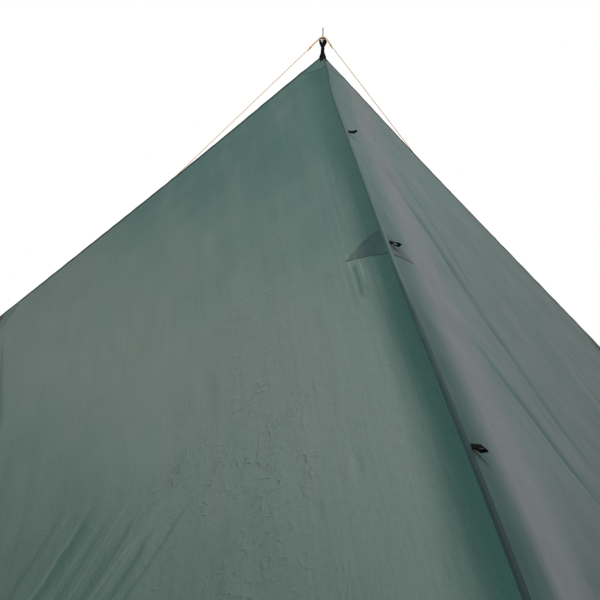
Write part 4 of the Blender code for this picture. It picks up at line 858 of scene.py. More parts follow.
def metal_material(name, base, roughness, turned=False):
    """Drawn or turned metal with fine lines along or round the pole, and light scuffs."""
    n = Nodes(name)
    x, y, z = n.parts(n.object)
    if turned:
        lines = n.noise(n.vector(0.0, 0.0, z * 2600.0), 1.0, 2.0)
    else:
        lines = n.streaks(n.math("ARCTAN2", y, x), z, 60.0, 3.0)
    scuff = n.noise(n.object, 70.0, 4.0, 0.7)
    colour = n.mix(n.ramp(scuff, 0.35, 0.75), shade(base, 0.82), base)
    worn = n.ramp(scuff, 0.4, 0.8, roughness - 0.06, roughness + 0.10)
    rough = lines * 0.16 + worn
    return n.finish(colour, rough, n.bump(lines, 0.00008, 0.5), metallic=1.0)


def moulded_material(name, base, roughness, grain):
    """Moulded plastic or rubber with a fine grain and rubbed patches."""
    n = Nodes(name)
    rubbed = n.noise(n.object, 45.0, 4.0, 0.65)
    colour = n.mix(n.ramp(rubbed, 0.45, 0.75), base, shade(base, 1.9, 0.004))
    rough = n.ramp(rubbed, 0.35, 0.75, roughness + 0.06, roughness - 0.10)
    return n.finish(colour, rough, n.bump(n.noise(n.object, grain, 2.0, 0.6), 0.00025, 0.55))


# Making pieces

SHARP_ANGLE = radians(40)


def make_mesh(name, node, vertices, faces, material, uv=None, body="tarp"):
    """A dressed piece that rides on a body, and takes the place of a node where one is named."""
    mesh = bpy.data.meshes.new(name)
    mesh.from_pydata([tuple(v) for v in vertices], [], faces)
    if uv is not None:
        layer = mesh.uv_layers.new(name=STRIP_UV)
        for loop in mesh.loops:
            layer.data[loop.index].uv = uv[loop.vertex_index]
    shape = bmesh.new()
    shape.from_mesh(mesh)
    bmesh.ops.recalc_face_normals(shape, faces=shape.faces)
    shape.to_mesh(mesh)
    shape.free()
    mesh.shade_smooth()
    mesh.set_sharp_from_angle(angle=SHARP_ANGLE)
    mesh.materials.append(material)
    piece = bpy.data.objects.new(name, mesh)
    bpy.context.scene.collection.objects.link(piece)
    if node is not None:
        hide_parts(node)
    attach(piece, body)
    return piece


def grid_faces(rows, columns, wrap=False):
    """Faces between rows of points; wrap closes each row into a ring."""
    faces = []
    for j in range(rows - 1):
        for i in range(columns if wrap else columns - 1):
            k = (i + 1) % columns
            faces.append((j * columns + i, j * columns + k, (j + 1) * columns + k, (j + 1) * columns + i))
    return faces


def tube_faces(rows, columns):
    """Faces through a row of rings, with one face at each end."""
    ends = [tuple(range(columns)), tuple(range((rows - 1) * columns, rows * columns))]
    return grid_faces(rows, columns, wrap=True) + ends


def cloth_panel(side_name, side, material):
    """One dressed width of cloth, hung, with its relief in the mesh."""
    a_share = np.linspace(0, 1, CLOTH_COLUMNS) ** DENSE_COLUMNS_POWER
    b_share = np.linspace(0, 1, CLOTH_ROWS)
    pull = np.sin(2 * pi * (DENSE_ROWS_AT - b_share)) - sin(2 * pi * DENSE_ROWS_AT)
    b_share = b_share + DENSE_ROWS_PULL * pull
    a, b = np.meshgrid(a_share * PANEL_WIDTH, b_share * TARP_LENGTH)
    a_hung = a * side_edge(b) / PANEL_WIDTH
    b_hung = b * rear_edge(a) / TARP_LENGTH
    places = on_cloth(side, a_hung, b_hung, -CLOTH_DROP).reshape(-1, 3)
    name, node = f"cloth_{side_name}", f"{side_name}_panel"
    return make_mesh(name, node, places, grid_faces(CLOTH_ROWS, CLOTH_COLUMNS), material)


def strip(name, side, stations, section, material, node):
    """A sewn strip that follows an edge: stations are (a, b, in_a, in_b), the section (depth, lift)."""
    stations = np.array(stations)
    depth, lift = np.array(section).T
    a = stations[:, 0:1] + stations[:, 2:3] * depth
    b = stations[:, 1:2] + stations[:, 3:4] * depth
    places = on_cloth(side, a, b, np.broadcast_to(lift, a.shape))
    rows, columns = a.shape
    run = np.concatenate([[0.0], np.cumsum(np.hypot(*np.diff(stations[:, :2], axis=0).T))])
    around = np.concatenate([[0.0], np.cumsum(np.hypot(np.diff(depth), np.diff(lift)))])
    uv = [(run[j], around[i]) for j in range(rows) for i in range(columns)]
    make_mesh(name, node, places.reshape(-1, 3), tube_faces(rows, columns), material, uv)


# Depth from the edge and height above the cloth, from the inner edge of the top ply round to the lower
HEM_SECTION = (
    (0.0100, 0.0010),
    (0.0085, 0.0013),
    (0.0075, 0.0011),
    (0.0060, 0.0014),
    (0.0030, 0.0014),
    (0.0003, 0.0012),
    (-0.0009, 0.0002),
    (-0.0009, -0.0012),
    (0.0003, -0.0020),
    (0.0060, -0.0022),
    (0.0100, -0.0018),
    (0.0100, -0.0012),
)
HEM_STATIONS = 170
SIDE_HEM_STATIONS = 320
REAR_HEM_START = 0.0061
HEM_END_GAP = 0.0006


def hems(side_name, side, material):
    """A panel's three turned hems; the hollow ones turn with their edge."""
    end = PANEL_WIDTH - HEM_WIDTH - HEM_END_GAP
    front = [(a, 0.0, 0.0, 1.0) for a in np.linspace(0.0, end, HEM_STATIONS)]
    rear = []
    for a in np.linspace(REAR_HEM_START, end, HEM_STATIONS):
        slope = -REAR_HOLLOW * pi / PANEL_WIDTH * cos(pi * a / PANEL_WIDTH)
        length = hypot(1, slope)
        rear.append((a, float(rear_edge(a)), slope / length, -1 / length))
    long_side = []
    for b in np.linspace(CLEARANCE, TARP_LENGTH - CLEARANCE, SIDE_HEM_STATIONS):
        slope = -SIDE_HOLLOW * pi / TARP_LENGTH * cos(pi * b / TARP_LENGTH)
        length = hypot(1, slope)
        long_side.append((float(side_edge(b)), b, -1 / length, slope / length))
    for edge, stations in (("front", front), ("rear", rear), ("side", long_side)):
        name, node = f"hem_{edge}_{side_name}", f"{edge}_hem_{side_name}"
        strip(name, side, stations, HEM_SECTION, material, node)


# The felled seam's section: side, distance from the ridge, height, and distance round the section
SEAM_SECTION = (
    (LEFT, SEAM_LEFT_WIDTH, -0.0003, 0.0),
    (LEFT, SEAM_LEFT_WIDTH, 0.0007, 0.0010),
    (LEFT, 0.0014, 0.0010, 0.0026),
    (RIGHT, 0.0, 0.0012, 0.0040),
    (RIGHT, 0.0026, 0.0012, 0.0066),
    (RIGHT, 0.0040, 0.0009, 0.0080),
    (RIGHT, 0.0105, 0.0013, 0.0145),
    (RIGHT, 0.0120, 0.0010, 0.0160),
    (RIGHT, SEAM_RIGHT_WIDTH, 0.0009, 0.0175),
    (RIGHT, SEAM_RIGHT_WIDTH, -0.0003, 0.0187),
)
SEAM_STATIONS = 420


def seam(material):
    """The felled seam, three millimetres over the left panel and thirteen and a half over the right."""
    b = np.linspace(CLEARANCE, TARP_LENGTH - CLEARANCE, SEAM_STATIONS)
    columns = [on_cloth(side, np.full(b.shape, a), b, lift) for side, a, lift, _ in SEAM_SECTION]
    places = np.stack(columns, axis=1)
    uv = [(run, around) for run in b for *_, around in SEAM_SECTION]
    faces = grid_faces(SEAM_STATIONS, len(SEAM_SECTION))
    make_mesh("seam_strip", "ridge_seam", places.reshape(-1, 3), faces, material, uv)


PATCH_LIFT = 0.0004
PATCH_EDGE_DROP = 0.0006
APEX_PATCH_LEGS = (0.085, 0.110)
REAR_PATCH_LEGS = (0.083, 0.118)
RIDGE_PATCH_BOW = 0.010
CORNER_PATCH_LEGS = (0.19, 0.19)
CORNER_PATCH_BOW = 0.045
# The patch's inner end is cut off at this share of its size, so that no face ends in a point
FAN_START = 0.004
FAN_TURN_STEPS = 25
FAN_REACH_STEPS = 15
CENTRE_PATCH_REACH = 0.092
CENTRE_PATCH_TOP = 1.446
CENTRE_PATCH_SHOULDER = 0.036
CENTRE_PATCH_BASE = 1.486
CENTRE_PATCH_TIP = 0.092
CENTRE_PATCH_BLUNTNESS = 0.0005
CENTRE_PATCH_TOP_POWER = 2.6
CENTRE_PATCH_TIP_POWER = 1.25
CENTRE_PATCH_STEPS = 25


def patch_piece(name, side, a, b, material, node):
    """A sewn patch from a grid of flat places, with its turned edge down to the cloth."""
    rows, columns = a.shape
    top = on_cloth(side, a, b, PATCH_LIFT).reshape(-1, 3)
    faces = grid_faces(rows, columns)
    rim = [(0, i) for i in range(columns)]
    rim += [(j, columns - 1) for j in range(1, rows)]
    rim += [(rows - 1, i) for i in range(columns - 2, -1, -1)]
    rim += [(j, 0) for j in range(rows - 2, 0, -1)]
    ring = [j * columns + i for j, i in rim]
    low = on_cloth(side, a, b, -PATCH_EDGE_DROP).reshape(-1, 3)[ring]
    base = len(top)
    for k in range(len(ring)):
        m = (k + 1) % len(ring)
        faces.append((ring[k], ring[m], base + m, base + k))
    make_mesh(name, node, np.concatenate([top, low]), faces, material)


def fan_patch(name, side, middle, ways, legs, bow, material, node):
    """A patch between two edges that meet at a corner, with a bowed outer edge."""
    turn = np.linspace(0, 1, FAN_TURN_STEPS)[:, None]
    share = FAN_START + (1 - FAN_START) * np.linspace(0.0, 1.0, FAN_REACH_STEPS)[None, :]
    first = np.array((ways[0] * legs[0], 0.0))
    second = np.array((0.0, ways[1] * legs[1]))
    edge = first + (second - first) * turn
    edge = edge + edge / np.linalg.norm(edge, axis=1, keepdims=True) * bow * np.sin(pi * turn)
    a = middle[0] + edge[:, 0:1] * share
    b = middle[1] + edge[:, 1:2] * share
    patch_piece(name, side, a, b, material, node)


def patches(side_name, side, material, centre_material, corner_material):
    """One panel's patches: at both ends and the middle of the ridge, and at its two corners."""
    seam_edge = SEAM_LEFT_WIDTH if side == LEFT else SEAM_RIGHT_WIDTH
    inset = PANEL_WIDTH - HEM_WIDTH - CLEARANCE
    front, rear = HEM_WIDTH + CLEARANCE, TARP_LENGTH - HEM_WIDTH - CLEARANCE
    ridge, corner = (RIDGE_PATCH_BOW, material), (CORNER_PATCH_BOW, corner_material)
    for place, middle, ways, legs, kind in (
        ("apex", (seam_edge, front), (1, 1), APEX_PATCH_LEGS, ridge),
        ("rear", (seam_edge, rear), (1, -1), REAR_PATCH_LEGS, ridge),
        ("front_corner", (inset, front), (-1, 1), CORNER_PATCH_LEGS, corner),
        ("rear_corner", (inset, rear), (-1, -1), CORNER_PATCH_LEGS, corner),
    ):
        name, node = f"{place}_reinforcement_{side_name}", f"{place}_patch_{side_name}"
        fan_patch(name, side, middle, ways, legs, *kind, node)
    a = np.linspace(seam_edge, CENTRE_PATCH_REACH, CENTRE_PATCH_STEPS)[None, :]
    taper = np.clip(1 - a / (CENTRE_PATCH_REACH + CENTRE_PATCH_BLUNTNESS), 0, 1)
    rise = (a / CENTRE_PATCH_REACH) ** CENTRE_PATCH_TOP_POWER
    upper = CENTRE_PATCH_TOP + CENTRE_PATCH_SHOULDER * rise
    lower = CENTRE_PATCH_BASE + CENTRE_PATCH_TIP * taper**CENTRE_PATCH_TIP_POWER
    b = upper + (lower - upper) * np.linspace(0, 1, CENTRE_PATCH_STEPS)[:, None]
    name, node = f"centre_reinforcement_{side_name}", f"centre_patch_{side_name}"
    patch_piece(name, side, np.broadcast_to(a, b.shape), b, centre_material, node)


# Folded straps: points round the loop, columns across, gap between the plies at the root, crown of the
# loop's far end and where it starts, a pointed loop's widest place, and the fullness of a round one
STRAP_POINTS = 30
STRAP_COLUMNS = 5
STRAP_PLY_GAP = 0.0002
STRAP_CROWN = 0.0004
STRAP_CROWN_START = 0.6
POINTED_WIDEST = 0.55
DROP_FULLNESS = 0.77


def drop_outline(reach, opening, tail, pointed):
    """Outer and inner outline of a folded strap; pointed draws the loop's end out to a tip."""
    start = WEBBING_THICKNESS
    inner = [(start, -STRAP_PLY_GAP)]
    for i in range(1, STRAP_POINTS):
        turn = 2 * pi * i / STRAP_POINTS
        share = (1 - cos(turn)) / 2
        out = start + (reach - WEBBING_THICKNESS - start) * share
        rise = sin(turn) * abs(sin(turn / 2)) / DROP_FULLNESS
        tip = min(share / POINTED_WIDEST, (1 - share) / (1 - POINTED_WIDEST), 1.0)
        tip = tip if sin(turn) > 0 else -tip
        inner.append((out, -opening / 2 * (rise * (1 - pointed) + tip * pointed)))
    inner.append((start, STRAP_PLY_GAP))
    outer = [(-tail, -WEBBING_THICKNESS), (start, -WEBBING_THICKNESS)]
    for before, here, after in zip(inner, inner[1:], inner[2:]):
        along = Vector((after[0] - before[0], after[1] - before[1])).normalized()
        outer.append((here[0] + along.y * WEBBING_THICKNESS, here[1] - along.x * WEBBING_THICKNESS))
    outer += [(start, WEBBING_THICKNESS), (-tail, WEBBING_THICKNESS)]
    return outer, inner


def strap_mesh(name, node, outlines, place, material, body):
    """A folded strap: place(out, up, way) gives world places, way from -1 to 1 across the strap."""
    vertices, faces, starts = [], [], []
    for outline in outlines:
        starts.append(len(vertices))
        for i in range(STRAP_COLUMNS):
            way = -1 + 2 * i / (STRAP_COLUMNS - 1)
            vertices += [place(x, y, way) for x, y in outline]
    counts = [len(outline) for outline in outlines]
    for i in range(STRAP_COLUMNS - 1):
        for start, count in zip(starts, counts):
            here, there = start + i * count, start + (i + 1) * count
            for k in range(count):
                m = (k + 1) % count
                faces.append((here + k, here + m, there + m, there + k))
    for i in (0, STRAP_COLUMNS - 1):
        outer, inner = (start + i * count for start, count in zip(starts, counts))
        outer_end, inner_end = outer + counts[0] - 1, inner + counts[1] - 1
        for k in range(counts[1] - 1):
            faces.append((outer + 1 + k, outer + 2 + k, inner + k + 1, inner + k))
        faces.append((outer, outer + 1, inner, inner_end, outer_end - 1, outer_end))
    make_mesh(name, node, vertices, faces, material, body=body)


def strap_loop(
    name, root, out, up, width, sizes, material, node, body="tarp", twist=0.0, pointed=0.0, curl=0.0
):
    """A folded strap from its root; sizes are its reach, its opening and the tail under the stitches."""
    across_strap = out.cross(up)
    reach = sizes[0]

    def place(x, y, way):
        turn = twist * max(x, 0) / reach
        bend = curl * max(x, 0) / reach
        ahead = out * cos(bend) + up * sin(bend)
        above = up * cos(bend) - out * sin(bend)
        side_way = across_strap * cos(turn) + above * sin(turn)
        rise = above * cos(turn) - across_strap * sin(turn)
        crown = STRAP_CROWN * (1 - way * way) if x > reach * STRAP_CROWN_START else 0.0
        run = out * x if bend == 0 else (out * sin(bend) + up * (1 - cos(bend))) * (reach / curl)
        point = root + run + ahead * crown + rise * y + side_way * way * width / 2
        point.z = max(point.z, 0.0)
        return point

    strap_mesh(name, node, drop_outline(*sizes, pointed), place, material, body)


RIDGE_LOOP_LIFT = 0.0020
RIDGE_LOOP_TAIL = 0.0025
# Each ridge loop's body, tilt, opening, twist, point of its end, and curl
RIDGE_LOOP_SHAPES = (
    ("first_ridge_loop", radians(20), 0.0020, 0.10, 0.4, radians(70)),
    ("second_ridge_loop", radians(24), 0.0050, 0.80, 0.8, 0.0),
    ("third_ridge_loop", radians(26), 0.0064, 0.30, 1.0, 0.0),
)


def ridge_loops(material):
    """Three worn loops: the first flat and curled up, the second slack, the third open like a diamond."""
    way, up = across(RIGHT), outward(RIGHT)
    for i, (body, tilt, opening, twist, pointed, curl) in enumerate(RIDGE_LOOP_SHAPES, 1):
        foot = Vector(on_cloth(RIGHT, RIDGE_LOOP_ROOT, RIDGE_LOOP_SPACING * i, RIDGE_LOOP_LIFT).tolist())
        out = way * cos(tilt) + up * sin(tilt)
        stand = up * cos(tilt) - way * sin(tilt)
        root = foot + out * RIDGE_LOOP_TAIL
        sizes = (RIDGE_LOOP_REACH - RIDGE_LOOP_TAIL, opening, RIDGE_LOOP_TAIL)
        name, node = f"ridge_webbing_{i}", f"ridge_loop_{i}"
        strap_loop(
            name, root, out, stand, RIDGE_LOOP_WIDTH, sizes, material, node, body, twist, pointed, curl
        )


CORNER_LOOP_SIZES = (CORNER_LOOP_REACH, CORNER_LOOP_OPENING, CORNER_LOOP_TAIL)
CORNER_LOOP_LIFT = 0.0026
REAR_RIDGE_LOOP_LIFT = 0.0030


def corner_loops(side_name, side, material):
    """The folded straps at a panel's front and rear corner."""
    up = outward(side)
    for end, b, way in (("front", 0.0, -1), ("rear", TARP_LENGTH, 1)):
        out = (across(side) + RIDGE * way).normalized()
        corner = APEX + RIDGE * b + across(side) * PANEL_WIDTH
        root = corner + up * CORNER_LOOP_LIFT + out * CORNER_LOOP_START
        name, node = f"{end}_corner_webbing_{side_name}", f"{end}_corner_loop_{side_name}"
        strap_loop(name, root, out, up, CORNER_LOOP_WIDTH, CORNER_LOOP_SIZES, material, node)


def rear_ridge_loop(material):
    """The folded strap at the rear end of the ridge."""
    root = APEX + RIDGE * (TARP_LENGTH + CORNER_LOOP_START) + RIDGE_UP * REAR_RIDGE_LOOP_LIFT
    name, node = "rear_ridge_webbing", "rear_ridge_loop"
    strap_loop(name, root, RIDGE, RIDGE_UP, CORNER_LOOP_WIDTH, CORNER_LOOP_SIZES, material, node)


# The apex strap's saddle: side, distance from the ridge and height of each point of its section
SADDLE_INNER = 0.0014
SADDLE_OUTER = 0.0028
SADDLE_SECTION = (
    (LEFT, APEX_SADDLE_HALF_WIDTH, SADDLE_INNER),
    (LEFT, APEX_SADDLE_HALF_WIDTH, SADDLE_OUTER),
    (LEFT, 0.006, SADDLE_OUTER),
    (LEFT, 0.0015, SADDLE_OUTER),
    (RIGHT, 0.0015, SADDLE_OUTER),
    (RIGHT, 0.006, SADDLE_OUTER),
    (RIGHT, APEX_SADDLE_HALF_WIDTH, SADDLE_OUTER),
    (RIGHT, APEX_SADDLE_HALF_WIDTH, SADDLE_INNER),
    (RIGHT, 0.001, SADDLE_INNER),
    (LEFT, 0.001, SADDLE_INNER),
)
SADDLE_ROWS = 12
SADDLE_START = 0.0002
# The gathered neck: height, half width, middle's y and half depth of each ring
NECK_BEHIND = -APEX_SETBACK - 0.0035
NECK_RINGS = (
    (-0.0030, 0.0092, NECK_BEHIND, 0.0018),
    (0.0040, 0.0100, NECK_BEHIND, 0.0022),
    (0.0085, 0.0102, NECK_BEHIND + 0.0002, 0.0026),
    (0.0120, 0.0088, NECK_BEHIND + 0.0005, 0.0030),
    (0.0165, 0.0072, -0.0150, 0.0034),
    (0.0215, 0.0060, -0.0125, 0.0037),
    (0.0270, 0.0054, -0.0110, 0.0040),
    (0.0330, 0.0053, -0.0105, 0.0042),
    (0.0390, 0.0052, -0.0100, 0.0040),
)
NECK_TURNS = 20
NECK_PLEATS = 5
NECK_PLEAT_DEPTH = 0.10
NECK_PLEAT_TURN = 160
NECK_SQUARENESS = 0.6


def apex_strap(material):
    """The apex strap: saddle over the seam, gathered neck, and the loop over the pin."""
    vertices = []
    for b in np.linspace(SADDLE_START, APEX_SADDLE_LENGTH, SADDLE_ROWS):
        vertices += [on_cloth(side, a, b, lift - CLOTH_DROP) for side, a, lift in SADDLE_SECTION]
    faces = tube_faces(SADDLE_ROWS, len(SADDLE_SECTION))
    make_mesh("apex_saddle", "apex_loop", vertices, faces, material)
    vertices = []
    for height, half, y, depth in NECK_RINGS:
        for k in range(NECK_TURNS):
            angle = 2 * pi * k / NECK_TURNS
            fold = 1 + NECK_PLEAT_DEPTH * cos(NECK_PLEATS * angle + height * NECK_PLEAT_TURN)
            x = copysign(half * abs(cos(angle)) ** NECK_SQUARENESS, cos(angle)) * fold
            d = copysign(depth * abs(sin(angle)) ** NECK_SQUARENESS, sin(angle)) * fold
            vertices.append(Vector((x, y + d, APEX_HEIGHT + height)))
    faces = tube_faces(len(NECK_RINGS), NECK_TURNS)
    make_mesh("apex_neck", None, vertices, faces, material)
    apex_ribbon(material)


# x, y and height of the ribbon's middle, and how far its width is turned away from the y axis
RIBBON_ROUTE = (
    (-0.0016, -0.0100, 0.0330, 0.35),
    (-0.0030, -0.0094, 0.0400, 0.30),
    (-0.0052, -0.0074, 0.0480, 0.28),
    (-0.0078, -0.0040, 0.0570, 0.22),
    (-0.0096, -0.0010, 0.0650, 0.10),
    (-0.0082, 0.0000, 0.0694, 0.00),
    (-0.0030, 0.0000, 0.0702, 0.00),
    (0.0030, 0.0000, 0.0702, 0.00),
    (0.0082, 0.0000, 0.0690, 0.00),
    (0.0092, -0.0016, 0.0640, -0.42),
    (0.0062, -0.0056, 0.0560, -0.80),
    (0.0034, -0.0088, 0.0480, -0.90),
    (0.0018, -0.0102, 0.0400, -0.80),
    (0.0014, -0.0104, 0.0330, -0.60),
)
# Its section, in half widths and half thicknesses: bulged, with the edges thinner
RIBBON_TOP = ((1, 1), (0.5, 1.2), (0, 1.3), (-0.5, 1.2), (-1, 1))
RIBBON_SECTION = tuple((-u, -v) for u, v in RIBBON_TOP) + RIBBON_TOP
RIBBON_STEPS = 4
RIBBON_NECK_HALF_WIDTH = 0.0030
RIBBON_WIDENING = (0.036, 0.020)


def curve_point(p0, p1, p2, p3, t):
    """A point on the smooth curve through p1 and p2, at share t between them."""
    bent = (2 * p0 - 5 * p1 + 4 * p2 - p3) * t * t + (3 * p1 - p0 - 3 * p2 + p3) * t**3
    return (2 * p1 + (p2 - p0) * t + bent) / 2


def apex_ribbon(material):
    """The loop over the pin: one strap that leaves the neck edge-on and turns to lie over the top."""
    points = [Vector(point) for point in RIBBON_ROUTE]
    padded = [points[0], *points, points[-1]]
    places = []
    for i in range(len(points) - 1):
        places += [curve_point(*padded[i : i + 4], j / RIBBON_STEPS) for j in range(RIBBON_STEPS)]
    places.append(points[-1])
    centres = [Vector((x, y, APEX_HEIGHT + height)) for x, y, height, _ in places]
    vertices = []
    for i, (centre, (_, _, height, turn)) in enumerate(zip(centres, places)):
        along = (centres[min(i + 1, len(centres) - 1)] - centres[max(i - 1, 0)]).normalized()
        width_way = Vector((sin(turn * pi / 2), -cos(turn * pi / 2), 0))
        width_way = (width_way - along * width_way.dot(along)).normalized()
        normal = along.cross(width_way)
        wider = APEX_STRAP_WIDTH / 2 - RIBBON_NECK_HALF_WIDTH
        half = RIBBON_NECK_HALF_WIDTH + wider * float(smooth_step(height, *RIBBON_WIDENING))
        for u, v in RIBBON_SECTION:
            vertices.append(centre + width_way * half * u + normal * WEBBING_THICKNESS / 2 * v)
    faces = tube_faces(len(centres), len(RIBBON_SECTION))
    make_mesh("apex_eye", None, vertices, faces, material)


# Guylines


def guy_frame(side, level):
    """A guyline's start over the pin, its ways in plan, sideways and along, and its fall."""
    start = Vector((0, 0, LOOP_TOP + CLEARANCE + CORD_RADIUS + level * (2 * CORD_RADIUS + CLEARANCE)))
    plan = Vector((side * GUY_AIM_X, GUY_AIM_Y, 0))
    fall = start.z / plan.length
    plan.normalize()
    sideways = Vector((plan.y, -plan.x, 0)) * side
    line = (plan - Vector((0, 0, fall))).normalized()
    return start, plan, sideways, line, fall


def smooth_route(points, steps):
    """A smooth line through points, with a number of steps for each stretch."""
    padded = [points[0] * 2 - points[1], *points, points[-1] * 2 - points[-2]]
    made = []
    for i, count in enumerate(steps):
        made += [curve_point(*padded[i : i + 4], k / count) for k in range(count)]
    return made + [points[-1]]


def guy_points(side, level, reach, knot_place):
    """One guyline's route: tail, knot, back round the pin, out to its far loop and back."""
    start, plan, sideways, line, fall = guy_frame(side, level)

    def place(along, off, lift=0.0):
        drop = max(along - GUY_SLOPE_START, 0.0)
        rise = start + plan * min(along, GUY_SLOPE_START) + line * drop
        return rise + sideways * off + plan.cross(sideways) * lift * side

    knot_start = knot_place - KNOT_TURNS * KNOT_PITCH / 2
    knot_end = knot_place + KNOT_TURNS * KNOT_PITCH / 2
    lifting = line.cross(sideways).normalized()
    turns = []
    count = int(KNOT_TURNS * KNOT_POINTS_A_TURN)
    for i in range(count + 1):
        angle = pi + 2 * pi * i / KNOT_POINTS_A_TURN
        along = knot_end - i * KNOT_PITCH / KNOT_POINTS_A_TURN
        turns.append(place(along, 0) + (sideways * cos(angle) + lifting * sin(angle)) * KNOT_RADIUS)
    tail = [place(knot_end + KNOT_TAIL, -0.0060), place(knot_end + 0.004, -0.0036)]
    eye_radius = TIP_PIN_RADIUS + CORD_RADIUS + CLEARANCE
    last_side = 1 if cos(pi + 2 * pi * count / KNOT_POINTS_A_TURN) > 0 else -1
    back = [
        place(knot_start - 0.004, last_side * 0.0029),
        place(knot_start * 0.5, last_side * 0.0036),
        place(GUY_SLOPE_START, last_side * eye_radius),
        place(eye_radius * 0.9, last_side * eye_radius),
    ]
    eye = []
    for i in range(1, 8):
        angle = pi / 2 - pi * i / 8
        eye.append(start - plan * eye_radius * cos(angle) + sideways * last_side * eye_radius * sin(angle))
    out = [
        place(eye_radius * 0.9, -last_side * eye_radius),
        place(GUY_SLOPE_START, -last_side * eye_radius),
        place(knot_start * 0.5, -last_side * 0.0026),
        place(knot_start - 0.004, -last_side * 0.0003),
        place(knot_place, 0),
        place(knot_end + 0.010, 0),
        place(reach * 0.5, 0),
    ]
    slider = reach - SLIDER_TO_LOOP_END
    gap = STRAND_SPACING
    far = [
        place(slider, 0),
        place(reach - 0.075, 0),
        place(reach - 0.045, -0.0040),
        place(reach - 0.018, -0.0045),
        place(reach - 0.004, -0.0010),
        place(reach, gap / 2),
        place(reach - 0.004, gap + 0.0010),
        place(reach - 0.018, gap + 0.0045),
        place(reach - 0.045, gap + 0.0040),
        place(reach - 0.075, gap),
        place(slider, gap),
        place(slider - LINE_TAIL, gap),
    ]
    first = smooth_route(tail + [turns[0]], [2, 2])[:-1]
    steps = [2] * 3 + [1] * 10 + [2] * 2 + [1] * 5 + [2] * 8 + [1] * 2
    rest = smooth_route([turns[-1]] + back + eye + out + far, steps)
    return first + turns[:-1] + rest


def guyline(side_name, side, level, reach, knot_place, material):
    """One guyline as an unbroken cord."""
    points = guy_points(side, level, reach, knot_place)
    curve = bpy.data.curves.new(f"guyline_cord_{side_name}", "CURVE")
    curve.dimensions = "3D"
    curve.bevel_depth = CORD_RADIUS
    curve.bevel_resolution = 3
    curve.use_fill_caps = True
    spline = curve.splines.new("POLY")
    spline.points.add(len(points) - 1)
    for target, point in zip(spline.points, points):
        target.co = (*point, 1.0)
    curve.materials.append(material)
    piece = bpy.data.objects.new(f"guyline_cord_{side_name}", curve)
    bpy.context.scene.collection.objects.link(piece)
    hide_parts(f"guyline_{side_name}")
    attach(piece, "tarp")
    length = sum((q - p).length for p, q in zip(points, points[1:]))
    tuple(points[0])
    return piece


# Stage

# What lights the object from all round, and what the camera sees behind it: colour and strength
SKY_LIGHT = ((0.96, 0.98, 1.0), 0.28)
BACKDROP = ((1.0, 1.0, 1.0), 1.0)
# Each lamp's place, what it is aimed at, its size and its power
LIGHTS = (
    ("key", (-0.7, -2.7, 6.2), (0, -1.3, 1.2), 3.2, 218),
    ("rim", (3.5, 2.5, 4.5), (0.3, -1.0, 1.4), 2.2, 25),
    ("fill", (-2.0, -6.0, 2.5), (0, -0.5, 1.2), 3.0, 35),
)
FLOOR_HALF_SIZE = 30.0
FLOOR_DROP = 0.001


def camera():
    """The photograph's own view."""
    data = bpy.data.cameras.new("camera")
    data.lens = CAMERA_LENS
    data.sensor_width = 36.0
    data.clip_end = 60.0
    thing = bpy.data.objects.new("camera", data)
    back = CAMERA_RIGHT.cross(CAMERA_UP).normalized()
    up = back.cross(CAMERA_RIGHT).normalized()
    turn = Matrix((CAMERA_RIGHT.normalized(), up, back)).transposed()
    thing.matrix_world = Matrix.Translation(CAMERA_PLACE) @ turn.to_4x4()
    bpy.context.scene.collection.objects.link(thing)
    bpy.context.scene.camera = thing


def area_light(name, place, aim, size, watts):
    """A round lamp that is aimed at a place."""
    data = bpy.data.lights.new(name, "AREA")
    data.shape = "DISK"
    data.size = size
    data.energy = watts
    thing = bpy.data.objects.new(name, data)
    thing.location = place
    thing.rotation_euler = (Vector(aim) - Vector(place)).to_track_quat("-Z", "Y").to_euler()
    bpy.context.scene.collection.objects.link(thing)


def studio():
    """A plain pale room: soft light from all round, a floor and three lamps."""
    bpy.context.scene.view_settings.view_transform = "Standard"
    world = bpy.data.worlds.new("studio")
    bpy.context.scene.world = world
    world.use_nodes = True
    tree = world.node_tree
    tree.nodes.clear()
    out = tree.nodes.new("ShaderNodeOutputWorld")
    lit = tree.nodes.new("ShaderNodeBackground")
    seen = tree.nodes.new("ShaderNodeBackground")
    for light, (colour, strength) in ((lit, SKY_LIGHT), (seen, BACKDROP)):
        light.inputs["Color"].default_value = (*colour, 1.0)
        light.inputs["Strength"].default_value = strength
    path = tree.nodes.new("ShaderNodeLightPath")
    mix = tree.nodes.new("ShaderNodeMixShader")
    bare = path.outputs["Is Camera Ray"]
    for kind in ("Is Glossy Ray", "Is Transmission Ray"):
        both = tree.nodes.new("ShaderNodeMath")
        both.operation = "MAXIMUM"
        tree.links.new(bare, both.inputs[0])
        tree.links.new(path.outputs[kind], both.inputs[1])
        bare = both.outputs[0]
    for source, target in zip((bare, lit.outputs[0], seen.outputs[0]), mix.inputs):
        tree.links.new(source, target)
    tree.links.new(mix.outputs[0], out.inputs[0])
    mesh = bpy.data.meshes.new("floor")
    size = FLOOR_HALF_SIZE
    corners = [(-size, -size, 0), (size, -size, 0), (size, size, 0), (-size, size, 0)]
    mesh.from_pydata(corners, [], [(0, 1, 2, 3)])
    n = Nodes("floor")
    colour = n.mix(n.noise(n.object, 0.6, 2.0), (0.82, 0.82, 0.82), (0.85, 0.85, 0.85))
    mesh.materials.append(n.finish(colour, 0.8))
    floor = bpy.data.objects.new("floor", mesh)
    floor.location.z = -FLOOR_DROP
    bpy.context.scene.collection.objects.link(floor)
    for name, place, aim, size, watts in LIGHTS:
        area_light(name, place, aim, size, watts)


def assign(node_names, material):
    """Give pieces that are shown as the solids are one material."""
    for name in node_names:
        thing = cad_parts[name]
        thing.data.materials.clear()
        thing.data.materials.append(material)


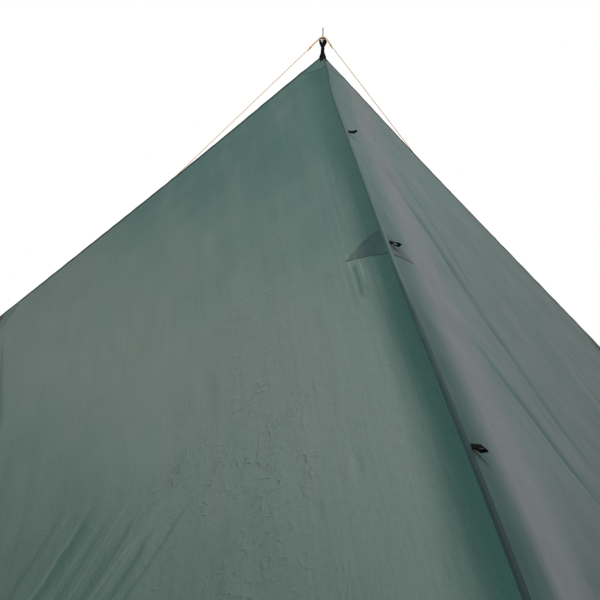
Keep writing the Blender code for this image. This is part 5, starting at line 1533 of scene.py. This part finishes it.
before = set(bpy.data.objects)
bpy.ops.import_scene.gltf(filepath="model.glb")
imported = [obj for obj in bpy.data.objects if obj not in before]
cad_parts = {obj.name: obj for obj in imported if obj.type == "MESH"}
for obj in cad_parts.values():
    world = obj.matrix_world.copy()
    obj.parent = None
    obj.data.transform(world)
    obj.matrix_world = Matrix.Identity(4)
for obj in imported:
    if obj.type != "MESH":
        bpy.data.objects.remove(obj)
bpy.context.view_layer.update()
camera()
braid = cord_material()
guyline("left", LEFT, 0, LEFT_GUY_REACH, LEFT_KNOT_PLACE, braid)
guyline("right", RIGHT, 1, RIGHT_GUY_REACH, RIGHT_KNOT_PLACE, braid)

webbing = webbing_material("webbing_black", (0.0075, 0.0060, 0.0058))
hem_cloth = hem_material("hem_cloth", (0.016, 0.028, 0.028))
for side_name, side in SIDES:
    tones = PATCH_TONES[side]
    patch_cloth = patch_material(f"patch_{side_name}", side, *tones["ridge"])
    centre_cloth = patch_material(f"centre_patch_{side_name}", side, *tones["centre"])
    corner_cloth = patch_material(f"corner_patch_{side_name}", side, *tones["corner"])
    panel = cloth_panel(side_name, side, cloth_material(f"cloth_{side_name}", side))
    hems(side_name, side, hem_cloth)
    patches(side_name, side, patch_cloth, centre_cloth, corner_cloth)
    corner_loops(side_name, side, webbing)
seam(seam_material())
ridge_loops(webbing)
rear_ridge_loop(webbing)
apex_strap(webbing)

tip_steel = metal_material("tip_steel", (0.42, 0.45, 0.38), 0.36, turned=True)
pole_aluminium = metal_material("pole_aluminium", (0.56, 0.57, 0.58), 0.30)
slider_aluminium = metal_material("slider_aluminium", (0.50, 0.51, 0.52), 0.36)
fastener_steel = metal_material("fastener_steel", (0.48, 0.48, 0.47), 0.34, turned=True)
clamp_plastic = moulded_material("clamp_plastic", (0.016, 0.016, 0.017), 0.48, 1800.0)
lever_plastic = moulded_material("lever_plastic", (0.022, 0.023, 0.024), 0.40, 1800.0)
bush_plastic = moulded_material("bush_plastic", (0.030, 0.030, 0.032), 0.45, 1500.0)
foot_rubber = moulded_material("foot_rubber", (0.018, 0.018, 0.018), 0.78, 900.0)
assign(("pole_tip",), tip_steel)
assign(("pole_upper_tube", "pole_middle_tube", "pole_lower_tube"), pole_aluminium)
assign(("line_slider_left", "line_slider_right"), slider_aluminium)
assign(("pole_foot",), foot_rubber)
for section in ("upper", "lower"):
    assign((f"{section}_clamp_pin", f"{section}_clamp_screw"), fastener_steel)
    assign((f"{section}_clamp_body",), clamp_plastic)
    assign((f"{section}_clamp_lever",), lever_plastic)
    assign((f"{section}_guide_bush",), bush_plastic)
studio()
